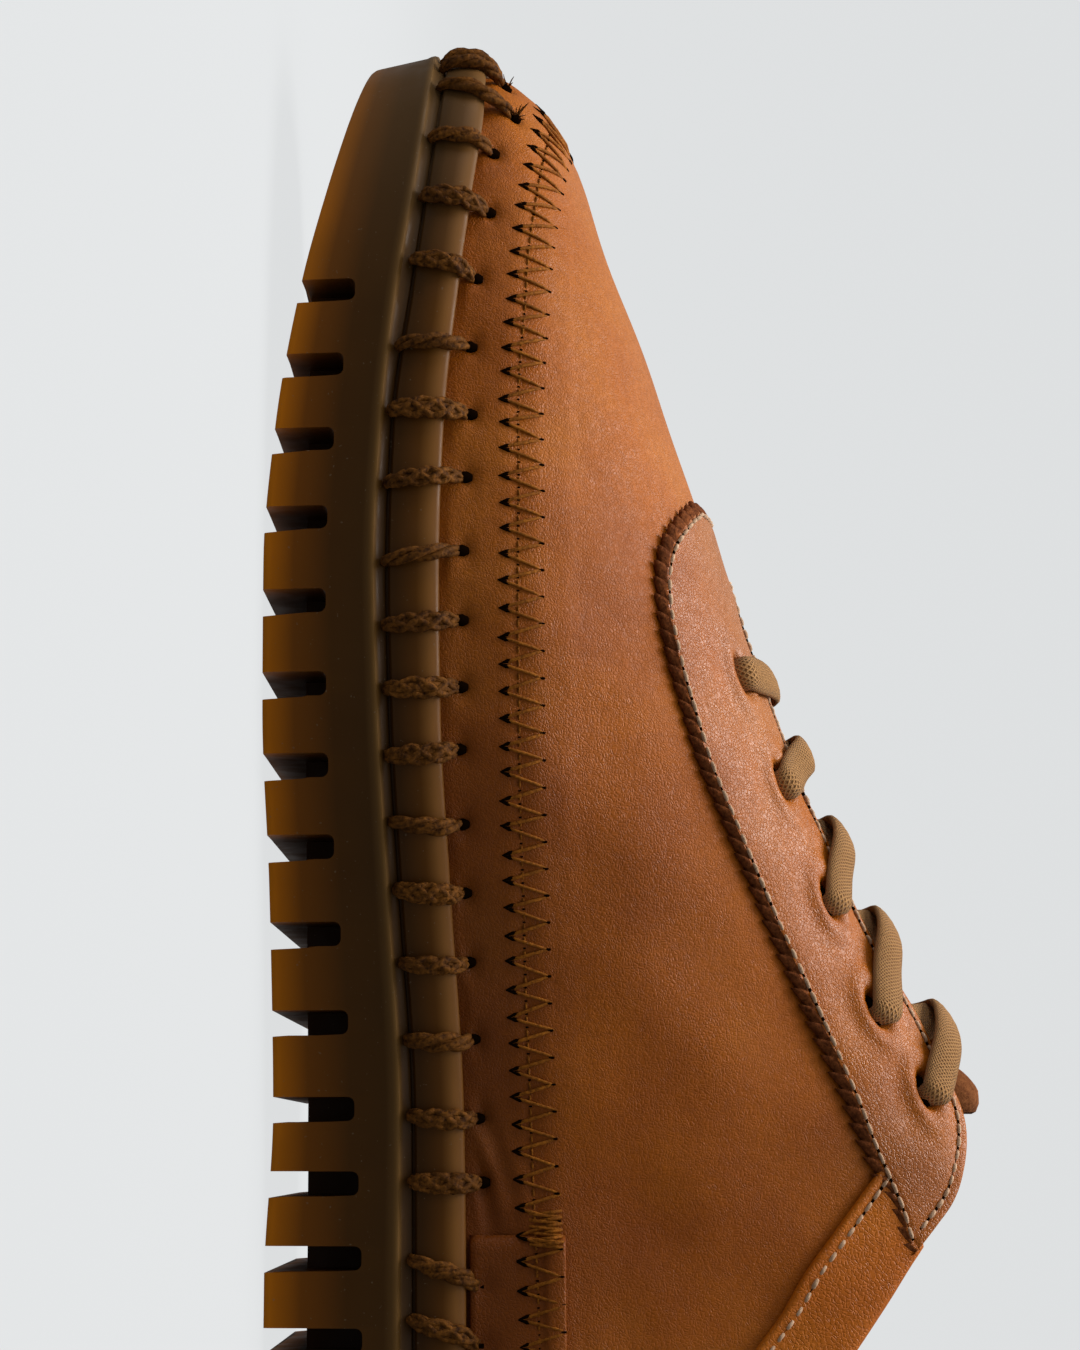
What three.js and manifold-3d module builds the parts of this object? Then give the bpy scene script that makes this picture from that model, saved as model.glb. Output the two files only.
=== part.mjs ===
// A low lace-up sneaker for the right foot: tan leather upper on a gum-rubber cup sole.
// Millimetres, +Z up. The toe points to -X, the inner side of the foot faces -Y,
// and the origin lies on the ground under the middle of the shoe.
import * as THREE from 'three';
import { mergeVertices } from 'three/addons/utils/BufferGeometryUtils.js';
import Module from 'manifold-3d';

const wasm = await Module();
wasm.setup();

const table = (columns, rows) =>
  rows.map((row) => Object.fromEntries(columns.map((name, i) => [name, row[i]])));

// Driving sizes. A station is a distance back from the toe tip.
const soleLength = 300;
const fitGap = 0.3;
const leatherWall = 2.2;
const overlayThick = 1.4;
const bandThick = 1.1;
const treadInset = 2.4;
const rimWall = 2.3;
const floorBelowRidge = 3.2;
const insoleThick = 4;
const springOverRim = 0.6;

// Half widths of the sole at its ridge, from the middle line to each side.
const medialEdge = table(['station', 'side'], [
  [0, -7], [2, -18.5], [6, -28], [13, -35.5], [26, -42], [46, -47.5], [75, -51.5], [103, -52.8],
  [130, -50], [160, -42], [190, -36], [215, -34.7], [240, -35.6], [264, -34.5], [283, -27],
  [295, -15.5], [300, 0],
]);
const lateralEdge = table(['station', 'side'], [
  [0, -7], [2, 5], [7, 16], [15, 24.5], [28, 33], [50, 42.5], [80, 50], [115, 53], [145, 50.8],
  [175, 45.5], [205, 40.5], [235, 37.8], [262, 35], [282, 27.5], [295, 15], [300, 0],
]);

// Heights along the sole's side: ground face, top of the lug slots, ridge, foot and top of the rim.
const sideHeights = table(['station', 'tread', 'slotTop', 'ridge', 'rimBase', 'rimTop'], [
  [0, 16.8, 16, 26.8, 28.9, 35.3],
  [15, 13.2, 16, 25.6, 27.9, 35.1],
  [33, 8.9, 15.5, 23.5, 25.9, 33.2],
  [50, 5.2, 14.4, 21.0, 23.8, 31.2],
  [75, 1.5, 11.4, 18.6, 20.7, 28.9],
  [97, 0, 10.2, 17.7, 20.1, 28.3],
  [122, 0, 10.4, 18.4, 20.6, 28.6],
  [150, 0.9, 12.0, 19.9, 22.1, 30.1],
  [185, 1.3, 14.6, 21.7, 24.2, 32.2],
  [212, 0, 15.9, 21.6, 24.4, 32.6],
  [270, 0, 16.5, 21.8, 24.6, 32.8],
  [300, 3.0, 16.8, 23.0, 25.6, 34.0],
]);

// Slots between the lugs: where each stands.
const slotStations = [
  51.8, 64.8, 77.5, 90.6, 104.2, 117.5, 130.4, 143.2, 156.9, 170.9, 184.7, 196.6, 208.5, 221.5,
  234.6, 247.7, 260.8, 273.9,
];
const slotWidth = 3.8;
const slotCorner = 1.1;
const slotThroughHeight = 6.2;
const slotPocketDepth = 14;

// The upper's top line over the foot, and how full its section is there (2 is an ellipse).
const roofLine = table(['station', 'height'], [
  [26, 53.2], [40, 57.6], [60, 64.9], [80, 71.6], [96, 76.5], [112, 82.3], [128, 88.8], [141, 95],
  [158, 104], [168, 110.5], [181, 118], [196, 125], [225, 134], [260, 138], [300, 138],
]);
const fullness = table(['station', 'power'], [
  [0, 1.9], [40, 1.9], [100, 1.75], [150, 1.7], [196, 1.85], [250, 1.85], [300, 1.7],
]);
// How far the wall swells out over the rim, most at bellyPeak above it.
const belly = table(['station', 'swell'], [
  [0, 0.4], [60, 0.8], [120, 0.8], [180, 0.2], [240, 1.2], [285, 2.2], [300, 2.4],
]);
const bellyPeak = 14;
const ridgeOfFoot = table(['station', 'side'], [
  [0, -8], [60, -7], [110, -5], [190, 0], [300, 0],
]);
const toeFan = 26;
const heelFan = 28;
const fanReach = 60;

// Side outlines of what is laid on the upper or cut out of it.
const collarLine = table(['station', 'height'], [
  [197.7, 115.8], [202.5, 111.2], [207.2, 106.9], [216.5, 100.2], [224, 94.7], [234, 87],
  [246, 80], [258, 77], [270, 77.5], [282, 82], [292, 88], [306, 91],
]);
const bandLine = table(['station', 'height'], [
  [193, 102], [199.4, 97], [205.7, 92.1], [210.4, 88.4], [218.1, 83.6], [224, 79], [234, 72],
  [246, 66], [258, 63], [270, 63], [282, 66], [292, 70], [306, 73],
]);
const eyestayLine = table(['station', 'height'], [
  [80.2, 75], [80.7, 72.9], [82.6, 70.6], [85.6, 68.4], [90, 65.9], [94.7, 64.6], [100, 64.5],
  [110.4, 66.2], [118.4, 68.4], [128.2, 71.4], [136.4, 74.9], [148.1, 79.9], [163.1, 86.4],
  [176.5, 92.2], [183.1, 95.1], [189.7, 97.6], [199.4, 101.9], [208.6, 105.2], [212, 108],
]);
const counterLine = table(['station', 'height'], [
  [205, 48.6], [225, 48.8], [250, 50], [306, 53],
]);

// The throat: half its gap either side of the foot's ridge.
const throatGap = table(['station', 'half'], [
  [96.5, 2.5], [98, 4.2], [101, 5], [112, 6], [130, 7.5], [150, 8.5], [168, 9.5], [184.6, 10.5],
  [191, 12.6], [197.7, 15.8], [206, 20],
]);
const tonguePlan = table(['station', 'half'], [
  [86, 13], [90, 17], [120, 20], [160, 24], [181, 24], [184.5, 20],
]);
const tongueThick = 2.8;
const tongueTip = { from: 178.2, to: 184.3, half: 8.6, rise: 1.1 };

// Punched holes of the five lace rows, and the flat lace.
// Lace holes, and the station where each row's lace goes over the ridge of the foot.
const eyelets = table(['station', 'height', 'crest'], [
  [111.8, 78.4, 111.8], [129.8, 85.1, 124.0], [149.6, 93.0, 137.5],
  [168.0, 100.8, 153.0], [181.4, 109.2, 169.0],
]);
const eyeletRadius = 2.1;
const laceWidth = 6;
const laceThick = 1.3;

const pairs = 34;
const legRows = [-1, 0];
const wallRows = [0.09, 0.2, 0.32, 0.44, 0.56, 0.68, 0.79, 0.9, 1];

function slopes(xs, ys, keepFlat) {
  const step = (i) => (ys[i + 1] - ys[i]) / (xs[i + 1] - xs[i]);
  return xs.map((x, i) => {
    if (i === 0) return step(0);
    if (i === xs.length - 1) return step(i - 1);
    const before = step(i - 1);
    const after = step(i);
    if (keepFlat) return before * after <= 0 ? 0 : (2 * before * after) / (before + after);
    const left = x - xs[i - 1];
    const right = xs[i + 1] - x;
    return (before * right + after * left) / (left + right);
  });
}

// A smooth curve through table values; with keepFlat, level stretches stay level.
function curve(xs, ys, keepFlat = false) {
  const tangents = slopes(xs, ys, keepFlat);
  return (at) => {
    const x = Math.min(Math.max(at, xs[0]), xs[xs.length - 1]);
    let i = 0;
    while (i < xs.length - 2 && x > xs[i + 1]) i += 1;
    const width = xs[i + 1] - xs[i];
    const u = (x - xs[i]) / width;
    const u2 = u * u;
    const u3 = u2 * u;
    return (2 * u3 - 3 * u2 + 1) * ys[i] + (u3 - 2 * u2 + u) * width * tangents[i]
      + (3 * u2 - 2 * u3) * ys[i + 1] + (u3 - u2) * width * tangents[i + 1];
  };
}

const column = (rows, name) => rows.map((row) => row[name]);
const turnAt = (station) => Math.acos(1 - (2 * station) / soleLength) / Math.PI;
const edgeCurve = (rows) => curve(column(rows, 'station').map(turnAt), column(rows, 'side'));
const medialCurve = edgeCurve(medialEdge);
const lateralCurve = edgeCurve(lateralEdge);
const heightOf = Object.fromEntries(['tread', 'slotTop', 'ridge', 'rimBase', 'rimTop'].map(
  (name) => [name, curve(column(sideHeights, 'station'), column(sideHeights, name), true)],
));
const roofAt = curve(column(roofLine, 'station'), column(roofLine, 'height'));
const powerAt = curve(column(fullness, 'station'), column(fullness, 'power'), true);
const bellyAt = curve(column(belly, 'station'), column(belly, 'swell'), true);
const footRidgeAt = curve(column(ridgeOfFoot, 'station'), column(ridgeOfFoot, 'side'), true);
const throatAt = curve(column(throatGap, 'station'), column(throatGap, 'half'), true);
const floorAt = (station) => heightOf.ridge(station) - floorBelowRidge;

// The sole's outline: turn 0 is the toe tip, 1 the heel and 2 the toe again, inner side first.
function outline(turn) {
  const around = ((turn % 2) + 2) % 2;
  const along = around <= 1 ? around : 2 - around;
  const side = around <= 1 ? medialCurve(along) : lateralCurve(along);
  return new THREE.Vector2((soleLength * (1 - Math.cos(Math.PI * along))) / 2, side);
}

function outlineInset(turn, inset) {
  const nudge = 1e-3;
  const along = outline(turn + nudge).sub(outline(turn - nudge)).normalize();
  const inward = new THREE.Vector2(-along.y, along.x);
  return outline(turn).addScaledVector(inward, inset);
}

function spineStation(station) {
  if (station < fanReach) return station + toeFan * (1 - station / fanReach) ** 2;
  const fromHeel = soleLength - station;
  if (fromHeel < fanReach) return station - heelFan * (1 - fromHeel / fanReach) ** 2;
  return station;
}

const roofSlope = (station) => {
  const start = Math.max(roofLine[0].station, station - 1);
  return (roofAt(station + 1) - roofAt(start)) / (station + 1 - start);
};

// The outside of the upper. Rise -1 to 0 is its foot inside the rim, 0 to 1 its arch up to the ridge.
function lastPoint(turn, rise) {
  const foot = outlineInset(turn, rimWall + 1.1 + fitGap);
  const { x: station } = outline(turn);
  const bottom = floorAt(station) + fitGap;
  const spring = heightOf.rimTop(station) + springOverRim;
  if (rise < 0) return new THREE.Vector3(foot.x, foot.y, spring + (spring - bottom) * rise);
  const spine = spineStation(station);
  const power = powerAt(spine);
  const top = new THREE.Vector2(spine, footRidgeAt(spine));
  const angle = (rise * Math.PI) / 2;
  const across = rise < 1 ? 1 - Math.cos(angle) ** (2 / power) : 1;
  const up = Math.sin(angle) ** (2 / power);
  const plan = foot.clone().lerp(top, across);
  const crown = roofAt(spine) + roofSlope(spine) * (plan.x - spine);
  const height = spring + (crown - spring) * up;
  const overRim = (height - heightOf.rimTop(station)) / (2 * bellyPeak);
  const wave = Math.sin(Math.PI * Math.min(Math.max(overRim, 0), 1)) ** 2;
  const outward = outlineInset(turn, 0).sub(outlineInset(turn, 1));
  plan.addScaledVector(outward, bellyAt(station) * wave * (1 - across));
  return new THREE.Vector3(plan.x, plan.y, height);
}

function upperPoint(turn, rise, offset) {
  const point = lastPoint(turn, rise);
  const normal = new THREE.Vector3();
  if (rise >= 1) {
    normal.set(-roofSlope(point.x), 0, 1);
  } else {
    const nudge = 1e-3;
    const around = lastPoint(turn + nudge, rise).sub(lastPoint(turn - nudge, rise));
    const upward = lastPoint(turn, rise + nudge).sub(lastPoint(turn, Math.max(-1, rise - nudge)));
    normal.crossVectors(around, upward);
  }
  return point.addScaledVector(normal.normalize(), offset);
}

// Finds the turn and rise where the upper has a given station and height on one side.
function onUpper(station, height, outerSide, offset) {
  let low = 0;
  let high = 1;
  let along = turnAt(station);
  for (let pass = 0; pass < 30; pass += 1) {
    const middle = (low + high) / 2;
    const point = upperPoint(outerSide ? 2 - along : along, middle, offset);
    along += (station - point.x) / (soleLength * 1.5);
    if (point.z < height) low = middle;
    else high = middle;
  }
  return { turn: outerSide ? 2 - along : along, rise: (low + high) / 2 };
}

const turns = [...Array(2 * pairs).keys()].map((i) => i / pairs);

// A closed skin from rings of points: each ring is joined to the next, and both ends are
// closed straight across from the inner side to the outer side.
function ringSolid(rings) {
  const count = turns.length;
  const positions = rings.flat().flatMap((p) => [p.x, p.y, p.z]);
  const faces = [];
  for (let ring = 0; ring < rings.length - 1; ring += 1) {
    for (let i = 0; i < count; i += 1) {
      const next = (i + 1) % count;
      const a = ring * count + i;
      const b = ring * count + next;
      faces.push(a, b, b + count, a, b + count, a + count);
    }
  }
  const cap = (start, flip) => {
    for (let i = 0; i < pairs; i += 1) {
      const inner = start + i;
      const innerNext = start + i + 1;
      const outer = start + ((count - i) % count);
      const outerNext = start + count - i - 1;
      const quad = [inner, outer, outerNext, inner, outerNext, innerNext];
      faces.push(...(flip ? quad.reverse() : quad));
    }
  };
  cap(0, false);
  cap((rings.length - 1) * count, true);
  return closed(positions, faces);
}

function closed(positions, faces) {
  const geometry = new THREE.BufferGeometry();
  geometry.setAttribute('position', new THREE.Float32BufferAttribute(positions, 3));
  geometry.setIndex(faces);
  return solidOf(geometry);
}

function solidOf(source) {
  const bare = source.clone();
  bare.deleteAttribute('normal');
  bare.deleteAttribute('uv');
  const merged = mergeVertices(bare, 1e-3);
  const corners = merged.index.array;
  const kept = [];
  for (let i = 0; i < corners.length; i += 3) {
    const [a, b, c] = [corners[i], corners[i + 1], corners[i + 2]];
    if (a !== b && b !== c && c !== a) kept.push(a, b, c);
  }
  return new wasm.Manifold(new wasm.Mesh({
    numProp: 3,
    vertProperties: Float32Array.from(merged.attributes.position.array),
    triVerts: Uint32Array.from(kept),
  }));
}

// A side outline in station and height, pushed right across the shoe from side to side.
const wide = 80;
function sidePrism(points, from = -wide, to = wide) {
  const shape = new THREE.Shape(points.map(([x, z]) => new THREE.Vector2(x, z)));
  const block = new THREE.ExtrudeGeometry(shape, { depth: to - from, bevelEnabled: false });
  block.rotateX(Math.PI / 2);
  block.translate(0, to, 0);
  return solidOf(block);
}

// A plan outline either side of the foot's ridge, pushed upwards.
function planPrism(rows, low, high) {
  const side = (sign) => rows.map(
    ({ station, half }) => new THREE.Vector2(station, footRidgeAt(station) + sign * half),
  );
  const shape = new THREE.Shape([...side(-1), ...side(1).reverse()]);
  const block = new THREE.ExtrudeGeometry(shape, { depth: high - low, bevelEnabled: false });
  block.translate(0, 0, low);
  return solidOf(block);
}

const points = (rows) => rows.map(({ station, height }) => [station, height]);
const above = (rows, top = 190) => {
  const line = points(rows);
  return [...line, [line[line.length - 1][0], top], [line[0][0], top]];
};

// The whole shoe's inside or outside at an offset from the upper's face, closed below.
function upperForm(offset, drop = 0) {
  const rings = [...legRows, ...wallRows].map((rise) => turns.map((turn) => {
    const point = upperPoint(turn, rise, offset);
    if (rise === -1) point.z -= drop;
    return point;
  }));
  return ringSolid(rings);
}

function soleRing(inset, height) {
  return turns.map((turn) => {
    const at = outlineInset(turn, inset);
    return new THREE.Vector3(at.x, at.y, height(outline(turn).x));
  });
}

function slotCutter(station) {
  const half = slotWidth / 2;
  const slot = (top) => [
    [station - half, -5], [station + half, -5], [station + half, top - slotCorner],
    [station + half - slotCorner, top], [station - half + slotCorner, top],
    [station - half, top - slotCorner],
  ];
  const top = heightOf.slotTop(station);
  const turn = turnAt(station);
  const innerWall = outline(turn).y + slotPocketDepth;
  const outerWall = outline(2 - turn).y - slotPocketDepth;
  return sidePrism(slot(slotThroughHeight))
    .add(sidePrism(slot(top), -wide, innerWall))
    .add(sidePrism(slot(top), outerWall, wide));
}

function makeOutsole() {
  const { tread, ridge, rimBase, rimTop } = heightOf;
  const body = ringSolid([
    soleRing(treadInset, tread),
    soleRing(0.4, (s) => ridge(s) - 1.3),
    soleRing(0, ridge),
    soleRing(1.0, (s) => ridge(s) + 0.4),
    soleRing(2.0, (s) => rimBase(s) - 0.9),
    soleRing(1.2, rimBase),
    soleRing(0.9, (s) => (rimBase(s) + rimTop(s)) / 2),
    soleRing(1.4, (s) => rimTop(s) - 0.7),
    soleRing(2.1, rimTop),
    soleRing(rimWall + 1.1, (s) => rimTop(s) - 0.5),
    soleRing(rimWall + 1.1, floorAt),
  ]);
  return slotStations.reduce((sole, station) => sole.subtract(slotCutter(station)), body);
}

function makeInsole() {
  const inset = rimWall + 1.1 + fitGap + leatherWall + fitGap;
  return ringSolid([
    soleRing(inset, (s) => floorAt(s) + fitGap),
    soleRing(inset, (s) => floorAt(s) + fitGap + insoleThick),
  ]);
}

const throatCut = planPrism(throatGap, 40, 190);
const collarCut = sidePrism(above(collarLine));

function eyeletCutter(station, height, outerSide) {
  const { turn, rise } = onUpper(station, height, outerSide, overlayThick);
  const inside = upperPoint(turn, rise, -6);
  const outside = upperPoint(turn, rise, 6);
  const rod = new THREE.CylinderGeometry(eyeletRadius, eyeletRadius, 12, 8);
  const aim = new THREE.Quaternion().setFromUnitVectors(
    new THREE.Vector3(0, 1, 0), outside.clone().sub(inside).normalize(),
  );
  const centre = inside.add(outside).multiplyScalar(0.5);
  rod.applyMatrix4(new THREE.Matrix4().compose(centre, aim, new THREE.Vector3(1, 1, 1)));
  return solidOf(rod);
}

const holes = eyelets.flatMap(({ station, height }) => [false, true].map(
  (outerSide) => eyeletCutter(station, height, outerSide),
));
const punched = (piece) => holes.reduce((left, hole) => left.subtract(hole), piece);

function makeUpper() {
  const shell = upperForm(0).subtract(upperForm(-leatherWall, 3));
  return punched(shell.subtract(collarCut).subtract(throatCut));
}

// A skin laid fitGap off the upper, inside a side outline.
const overlay = (thick, outlinePoints) =>
  upperForm(fitGap + thick).subtract(upperForm(fitGap, 3)).intersect(sidePrism(outlinePoints));

function makeEyestay() {
  return punched(overlay(overlayThick, above(eyestayLine)).subtract(collarCut).subtract(throatCut));
}

function makeCollarBand() {
  const lowered = eyestayLine.map(({ station, height }) => ({
    station: station + fitGap, height: height - fitGap,
  }));
  return overlay(bandThick, above(bandLine)).subtract(collarCut)
    .subtract(sidePrism(above(lowered)));
}

function makeCounter() {
  const rimClear = [];
  for (let station = 306; station >= 205; station -= 12) {
    rimClear.push([station, heightOf.rimTop(station) + fitGap + 0.1]);
  }
  rimClear.push([205, heightOf.rimTop(205) + fitGap + 0.1]);
  return overlay(bandThick, [...points(counterLine), ...rimClear]);
}

function makeTongue() {
  const top = -leatherWall - fitGap;
  const sheet = upperForm(top).subtract(upperForm(top - tongueThick, 3))
    .intersect(planPrism(tonguePlan, 40, 190));
  const { from, to, half, rise } = tongueTip;
  const tip = upperForm(rise).subtract(upperForm(top - 1, 3))
    .intersect(planPrism([{ station: from, half }, { station: to, half }], 40, 190));
  return sheet.add(tip);
}

// A flat strap through points, each with the direction of its width.
function strap(path) {
  const positions = [];
  path.forEach(({ at, across, up }) => {
    [[-1, -1], [1, -1], [1, 1], [-1, 1]].forEach(([side, level]) => {
      const corner = at.clone()
        .addScaledVector(across, (side * laceWidth) / 2)
        .addScaledVector(up, (level * laceThick) / 2);
      positions.push(corner.x, corner.y, corner.z);
    });
  });
  const faces = [];
  for (let i = 0; i < path.length - 1; i += 1) {
    for (let k = 0; k < 4; k += 1) {
      const a = i * 4 + k;
      const b = i * 4 + ((k + 1) % 4);
      faces.push(a, b, b + 4, a, b + 4, a + 4);
    }
  }
  const end = (path.length - 1) * 4;
  faces.push(0, 2, 1, 0, 3, 2, end, end + 1, end + 2, end, end + 2, end + 3);
  return closed(positions, faces);
}

const laceLift = fitGap + overlayThick + 0.5 + laceThick / 2;

// The lace's path over the facing, from one place on the upper to another across the ridge.
// It goes straight up to the ridge and then slants on to its finish.
function laceRun(start, finish, steps) {
  const ridge = start.side / (start.side - finish.side);
  const spots = [];
  for (let i = 0; i <= steps; i += 1) {
    const part = i / steps;
    const slant = Math.max(0, (part - ridge) / (1 - ridge)) ** 1.9;
    const station = start.station + (finish.station - start.station) * slant;
    const side = start.side + (finish.side - start.side) * part;
    spots.push(overRidge(station, side));
  }
  return spots.map((spot, i) => {
    const ahead = spots[Math.min(i + 1, steps)].at.clone().sub(spots[Math.max(i - 1, 0)].at);
    const across = new THREE.Vector3().crossVectors(ahead, spot.up).normalize();
    return { at: spot.at, across: across.negate(), up: spot.up };
  });
}

// A point above the facing at a station and a distance from the foot's ridge.
function overRidge(station, side) {
  const outerSide = side > 0;
  let low = 0;
  let high = 1;
  let along = turnAt(station);
  for (let pass = 0; pass < 26; pass += 1) {
    const middle = (low + high) / 2;
    const point = upperPoint(outerSide ? 2 - along : along, middle, laceLift);
    along += (station - point.x) / (soleLength * 1.5);
    if (Math.abs(point.y - footRidgeAt(station)) > Math.abs(side)) low = middle;
    else high = middle;
  }
  const turn = outerSide ? 2 - along : along;
  const rise = (low + high) / 2;
  const at = upperPoint(turn, rise, laceLift);
  const up = at.clone().sub(upperPoint(turn, rise, laceLift - 1));
  return { at, up };
}

const holeSide = ({ station, height }, outerSide) => {
  const { turn, rise } = onUpper(station, height, outerSide, overlayThick);
  return { station, side: upperPoint(turn, rise, laceLift).y - footRidgeAt(station) };
};

const makeBar = (row) => strap(laceRun(holeSide(row, false), holeSide(row, true), 10));

function makeCrossing(row) {
  const half = throatAt(row.crest) - 1;
  return [false, true].map((outerSide) => strap(laceRun(
    { station: row.crest, side: outerSide ? -half : half }, holeSide(row, outerSide), 7,
  ))).reduce((first, second) => first.add(second));
}

const finishes = {
  gumRubber: new THREE.MeshStandardMaterial({ color: 0x5b4326, roughness: 0.45, metalness: 0 }),
  tanLeather: new THREE.MeshStandardMaterial({ color: 0xa9622f, roughness: 0.5, metalness: 0 }),
  facingLeather: new THREE.MeshStandardMaterial({ color: 0x9a5528, roughness: 0.5, metalness: 0 }),
  suede: new THREE.MeshStandardMaterial({ color: 0x6e3c1d, roughness: 0.9, metalness: 0 }),
  footbedLeather: new THREE.MeshStandardMaterial({ color: 0xb98a58, roughness: 0.7, metalness: 0 }),
  cottonLace: new THREE.MeshStandardMaterial({ color: 0x96682f, roughness: 0.9, metalness: 0 }),
};

const shoe = new THREE.Group();

function addPiece(name, solid, finish) {
  const { vertProperties, triVerts, numProp } = solid.getMesh();
  const positions = [];
  for (let i = 0; i < vertProperties.length; i += numProp) {
    positions.push(vertProperties[i], vertProperties[i + 1], vertProperties[i + 2]);
  }
  const geometry = new THREE.BufferGeometry();
  geometry.setAttribute('position', new THREE.Float32BufferAttribute(positions, 3));
  geometry.setIndex(Array.from(triVerts));
  const mesh = new THREE.Mesh(geometry, finishes[finish]);
  mesh.name = name;
  mesh.position.x = -soleLength / 2;
  shoe.add(mesh);
}

addPiece('outsole', makeOutsole(), 'gumRubber');
addPiece('insole', makeInsole(), 'footbedLeather');
addPiece('upper', makeUpper(), 'tanLeather');
addPiece('eyestay', makeEyestay(), 'facingLeather');
addPiece('collar_band', makeCollarBand(), 'tanLeather');
addPiece('heel_counter', makeCounter(), 'tanLeather');
addPiece('tongue', makeTongue(), 'suede');
addPiece('lace_bar_1', makeBar(eyelets[0]), 'cottonLace');
eyelets.slice(1).forEach((row, i) => {
  addPiece(`lace_cross_${i + 2}`, makeCrossing(row), 'cottonLace');
});

export default shoe;
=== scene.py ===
# Leather lace-up sneaker on a lugged gum sole: fine surfaces, threads, laces and finishes
import math
import random

import bmesh
import bpy
import numpy as np
from mathutils import Matrix, Vector


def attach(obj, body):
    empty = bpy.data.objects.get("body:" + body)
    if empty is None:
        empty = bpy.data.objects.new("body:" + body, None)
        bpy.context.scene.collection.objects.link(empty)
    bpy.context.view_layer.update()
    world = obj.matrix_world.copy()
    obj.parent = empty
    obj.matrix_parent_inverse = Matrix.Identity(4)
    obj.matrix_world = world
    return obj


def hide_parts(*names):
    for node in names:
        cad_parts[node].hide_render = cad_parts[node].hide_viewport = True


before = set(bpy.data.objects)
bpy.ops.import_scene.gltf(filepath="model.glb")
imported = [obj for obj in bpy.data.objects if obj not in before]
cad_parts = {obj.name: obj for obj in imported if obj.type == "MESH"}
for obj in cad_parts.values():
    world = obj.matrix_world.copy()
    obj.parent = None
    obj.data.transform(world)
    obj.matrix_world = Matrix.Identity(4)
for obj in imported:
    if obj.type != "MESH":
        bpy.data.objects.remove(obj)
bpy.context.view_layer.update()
mm = 0.001

# camera

view = {
    "yaw": 8.47,            # degrees the camera turns towards the toe
    "place": (0.0413, -0.5547, 0.0445),
    "lens": 85.07,
    "sensor": 36,
}


def makeCamera():
    turn = math.radians(view["yaw"])
    right = Vector((0, 0, 1))      # rolled: the toe is at the top of the picture
    up = Vector((-math.cos(turn), -math.sin(turn), 0))
    back = right.cross(up)
    data = bpy.data.cameras.new("camera")
    data.sensor_fit = "VERTICAL"
    data.sensor_height = view["sensor"]
    data.lens = view["lens"]
    data.clip_start = 0.01
    camera = bpy.data.objects.new("camera", data)
    turned = Matrix((right, up, back)).transposed().to_4x4()
    camera.matrix_world = Matrix.Translation(view["place"]) @ turned
    bpy.context.collection.objects.link(camera)
    bpy.context.scene.camera = camera


makeCamera()
print("camera set")

# shared forms: the sole's outline and the upper's surface, in millimetres from the toe tip

shoe = {
    "length": 300,
    "gap": 0.3,
    "wall": 2.2,
    "treadInset": 2.4,
    "rimInset": 1.1,
    "rimWall": 2.3,
    "footInset": 3.7,
    "floorBelowRidge": 3.2,
    "springOverRim": 0.6,
    "bellyPeak": 14,
    "toeFan": 26,
    "heelFan": 28,
    "fanReach": 60,
}
medialEdge = [
    (0, -7), (2, -18.5), (6, -28), (13, -35.5), (26, -42), (46, -47.5), (75, -51.5), (103, -52.8),
    (130, -50), (160, -42), (190, -36), (215, -34.7), (240, -35.6), (264, -34.5), (283, -27),
    (295, -15.5), (300, 0),
]
lateralEdge = [
    (0, -7), (2, 5), (7, 16), (15, 24.5), (28, 33), (50, 42.5), (80, 50), (115, 53), (145, 50.8),
    (175, 45.5), (205, 40.5), (235, 37.8), (262, 35), (282, 27.5), (295, 15), (300, 0),
]
sideColumns = ["tread", "slotTop", "ridge", "rimBase", "rimTop"]
sideHeights = {
    0: (16.8, 16, 26.8, 28.9, 35.3),
    15: (13.2, 16, 25.6, 27.9, 35.1),
    33: (8.9, 15.5, 23.5, 25.9, 33.2),
    50: (5.2, 14.4, 21.0, 23.8, 31.2),
    75: (1.5, 11.4, 18.6, 20.7, 28.9),
    97: (0, 10.2, 17.7, 20.1, 28.3),
    122: (0, 10.4, 18.4, 20.6, 28.6),
    150: (0.9, 12.0, 19.9, 22.1, 30.1),
    185: (1.3, 14.6, 21.7, 24.2, 32.2),
    212: (0, 15.9, 21.6, 24.4, 32.6),
    270: (0, 16.5, 21.8, 24.6, 32.8),
    300: (3.0, 16.8, 23.0, 25.6, 34.0),
}
roofLine = [
    (26, 53.2), (40, 57.6), (60, 64.9), (80, 71.6), (96, 76.5), (112, 82.3), (128, 88.8), (141, 95),
    (158, 104), (168, 110.5), (181, 118), (196, 125), (225, 134), (260, 138), (300, 138),
]
fullness = [(0, 1.9), (40, 1.9), (100, 1.75), (150, 1.7), (196, 1.85), (250, 1.85), (300, 1.7)]
belly = [(0, 0.4), (60, 0.8), (120, 0.8), (180, 0.2), (240, 1.2), (285, 2.2), (300, 2.4)]
footRidge = [(0, -8), (60, -7), (110, -5), (190, 0), (300, 0)]


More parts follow.
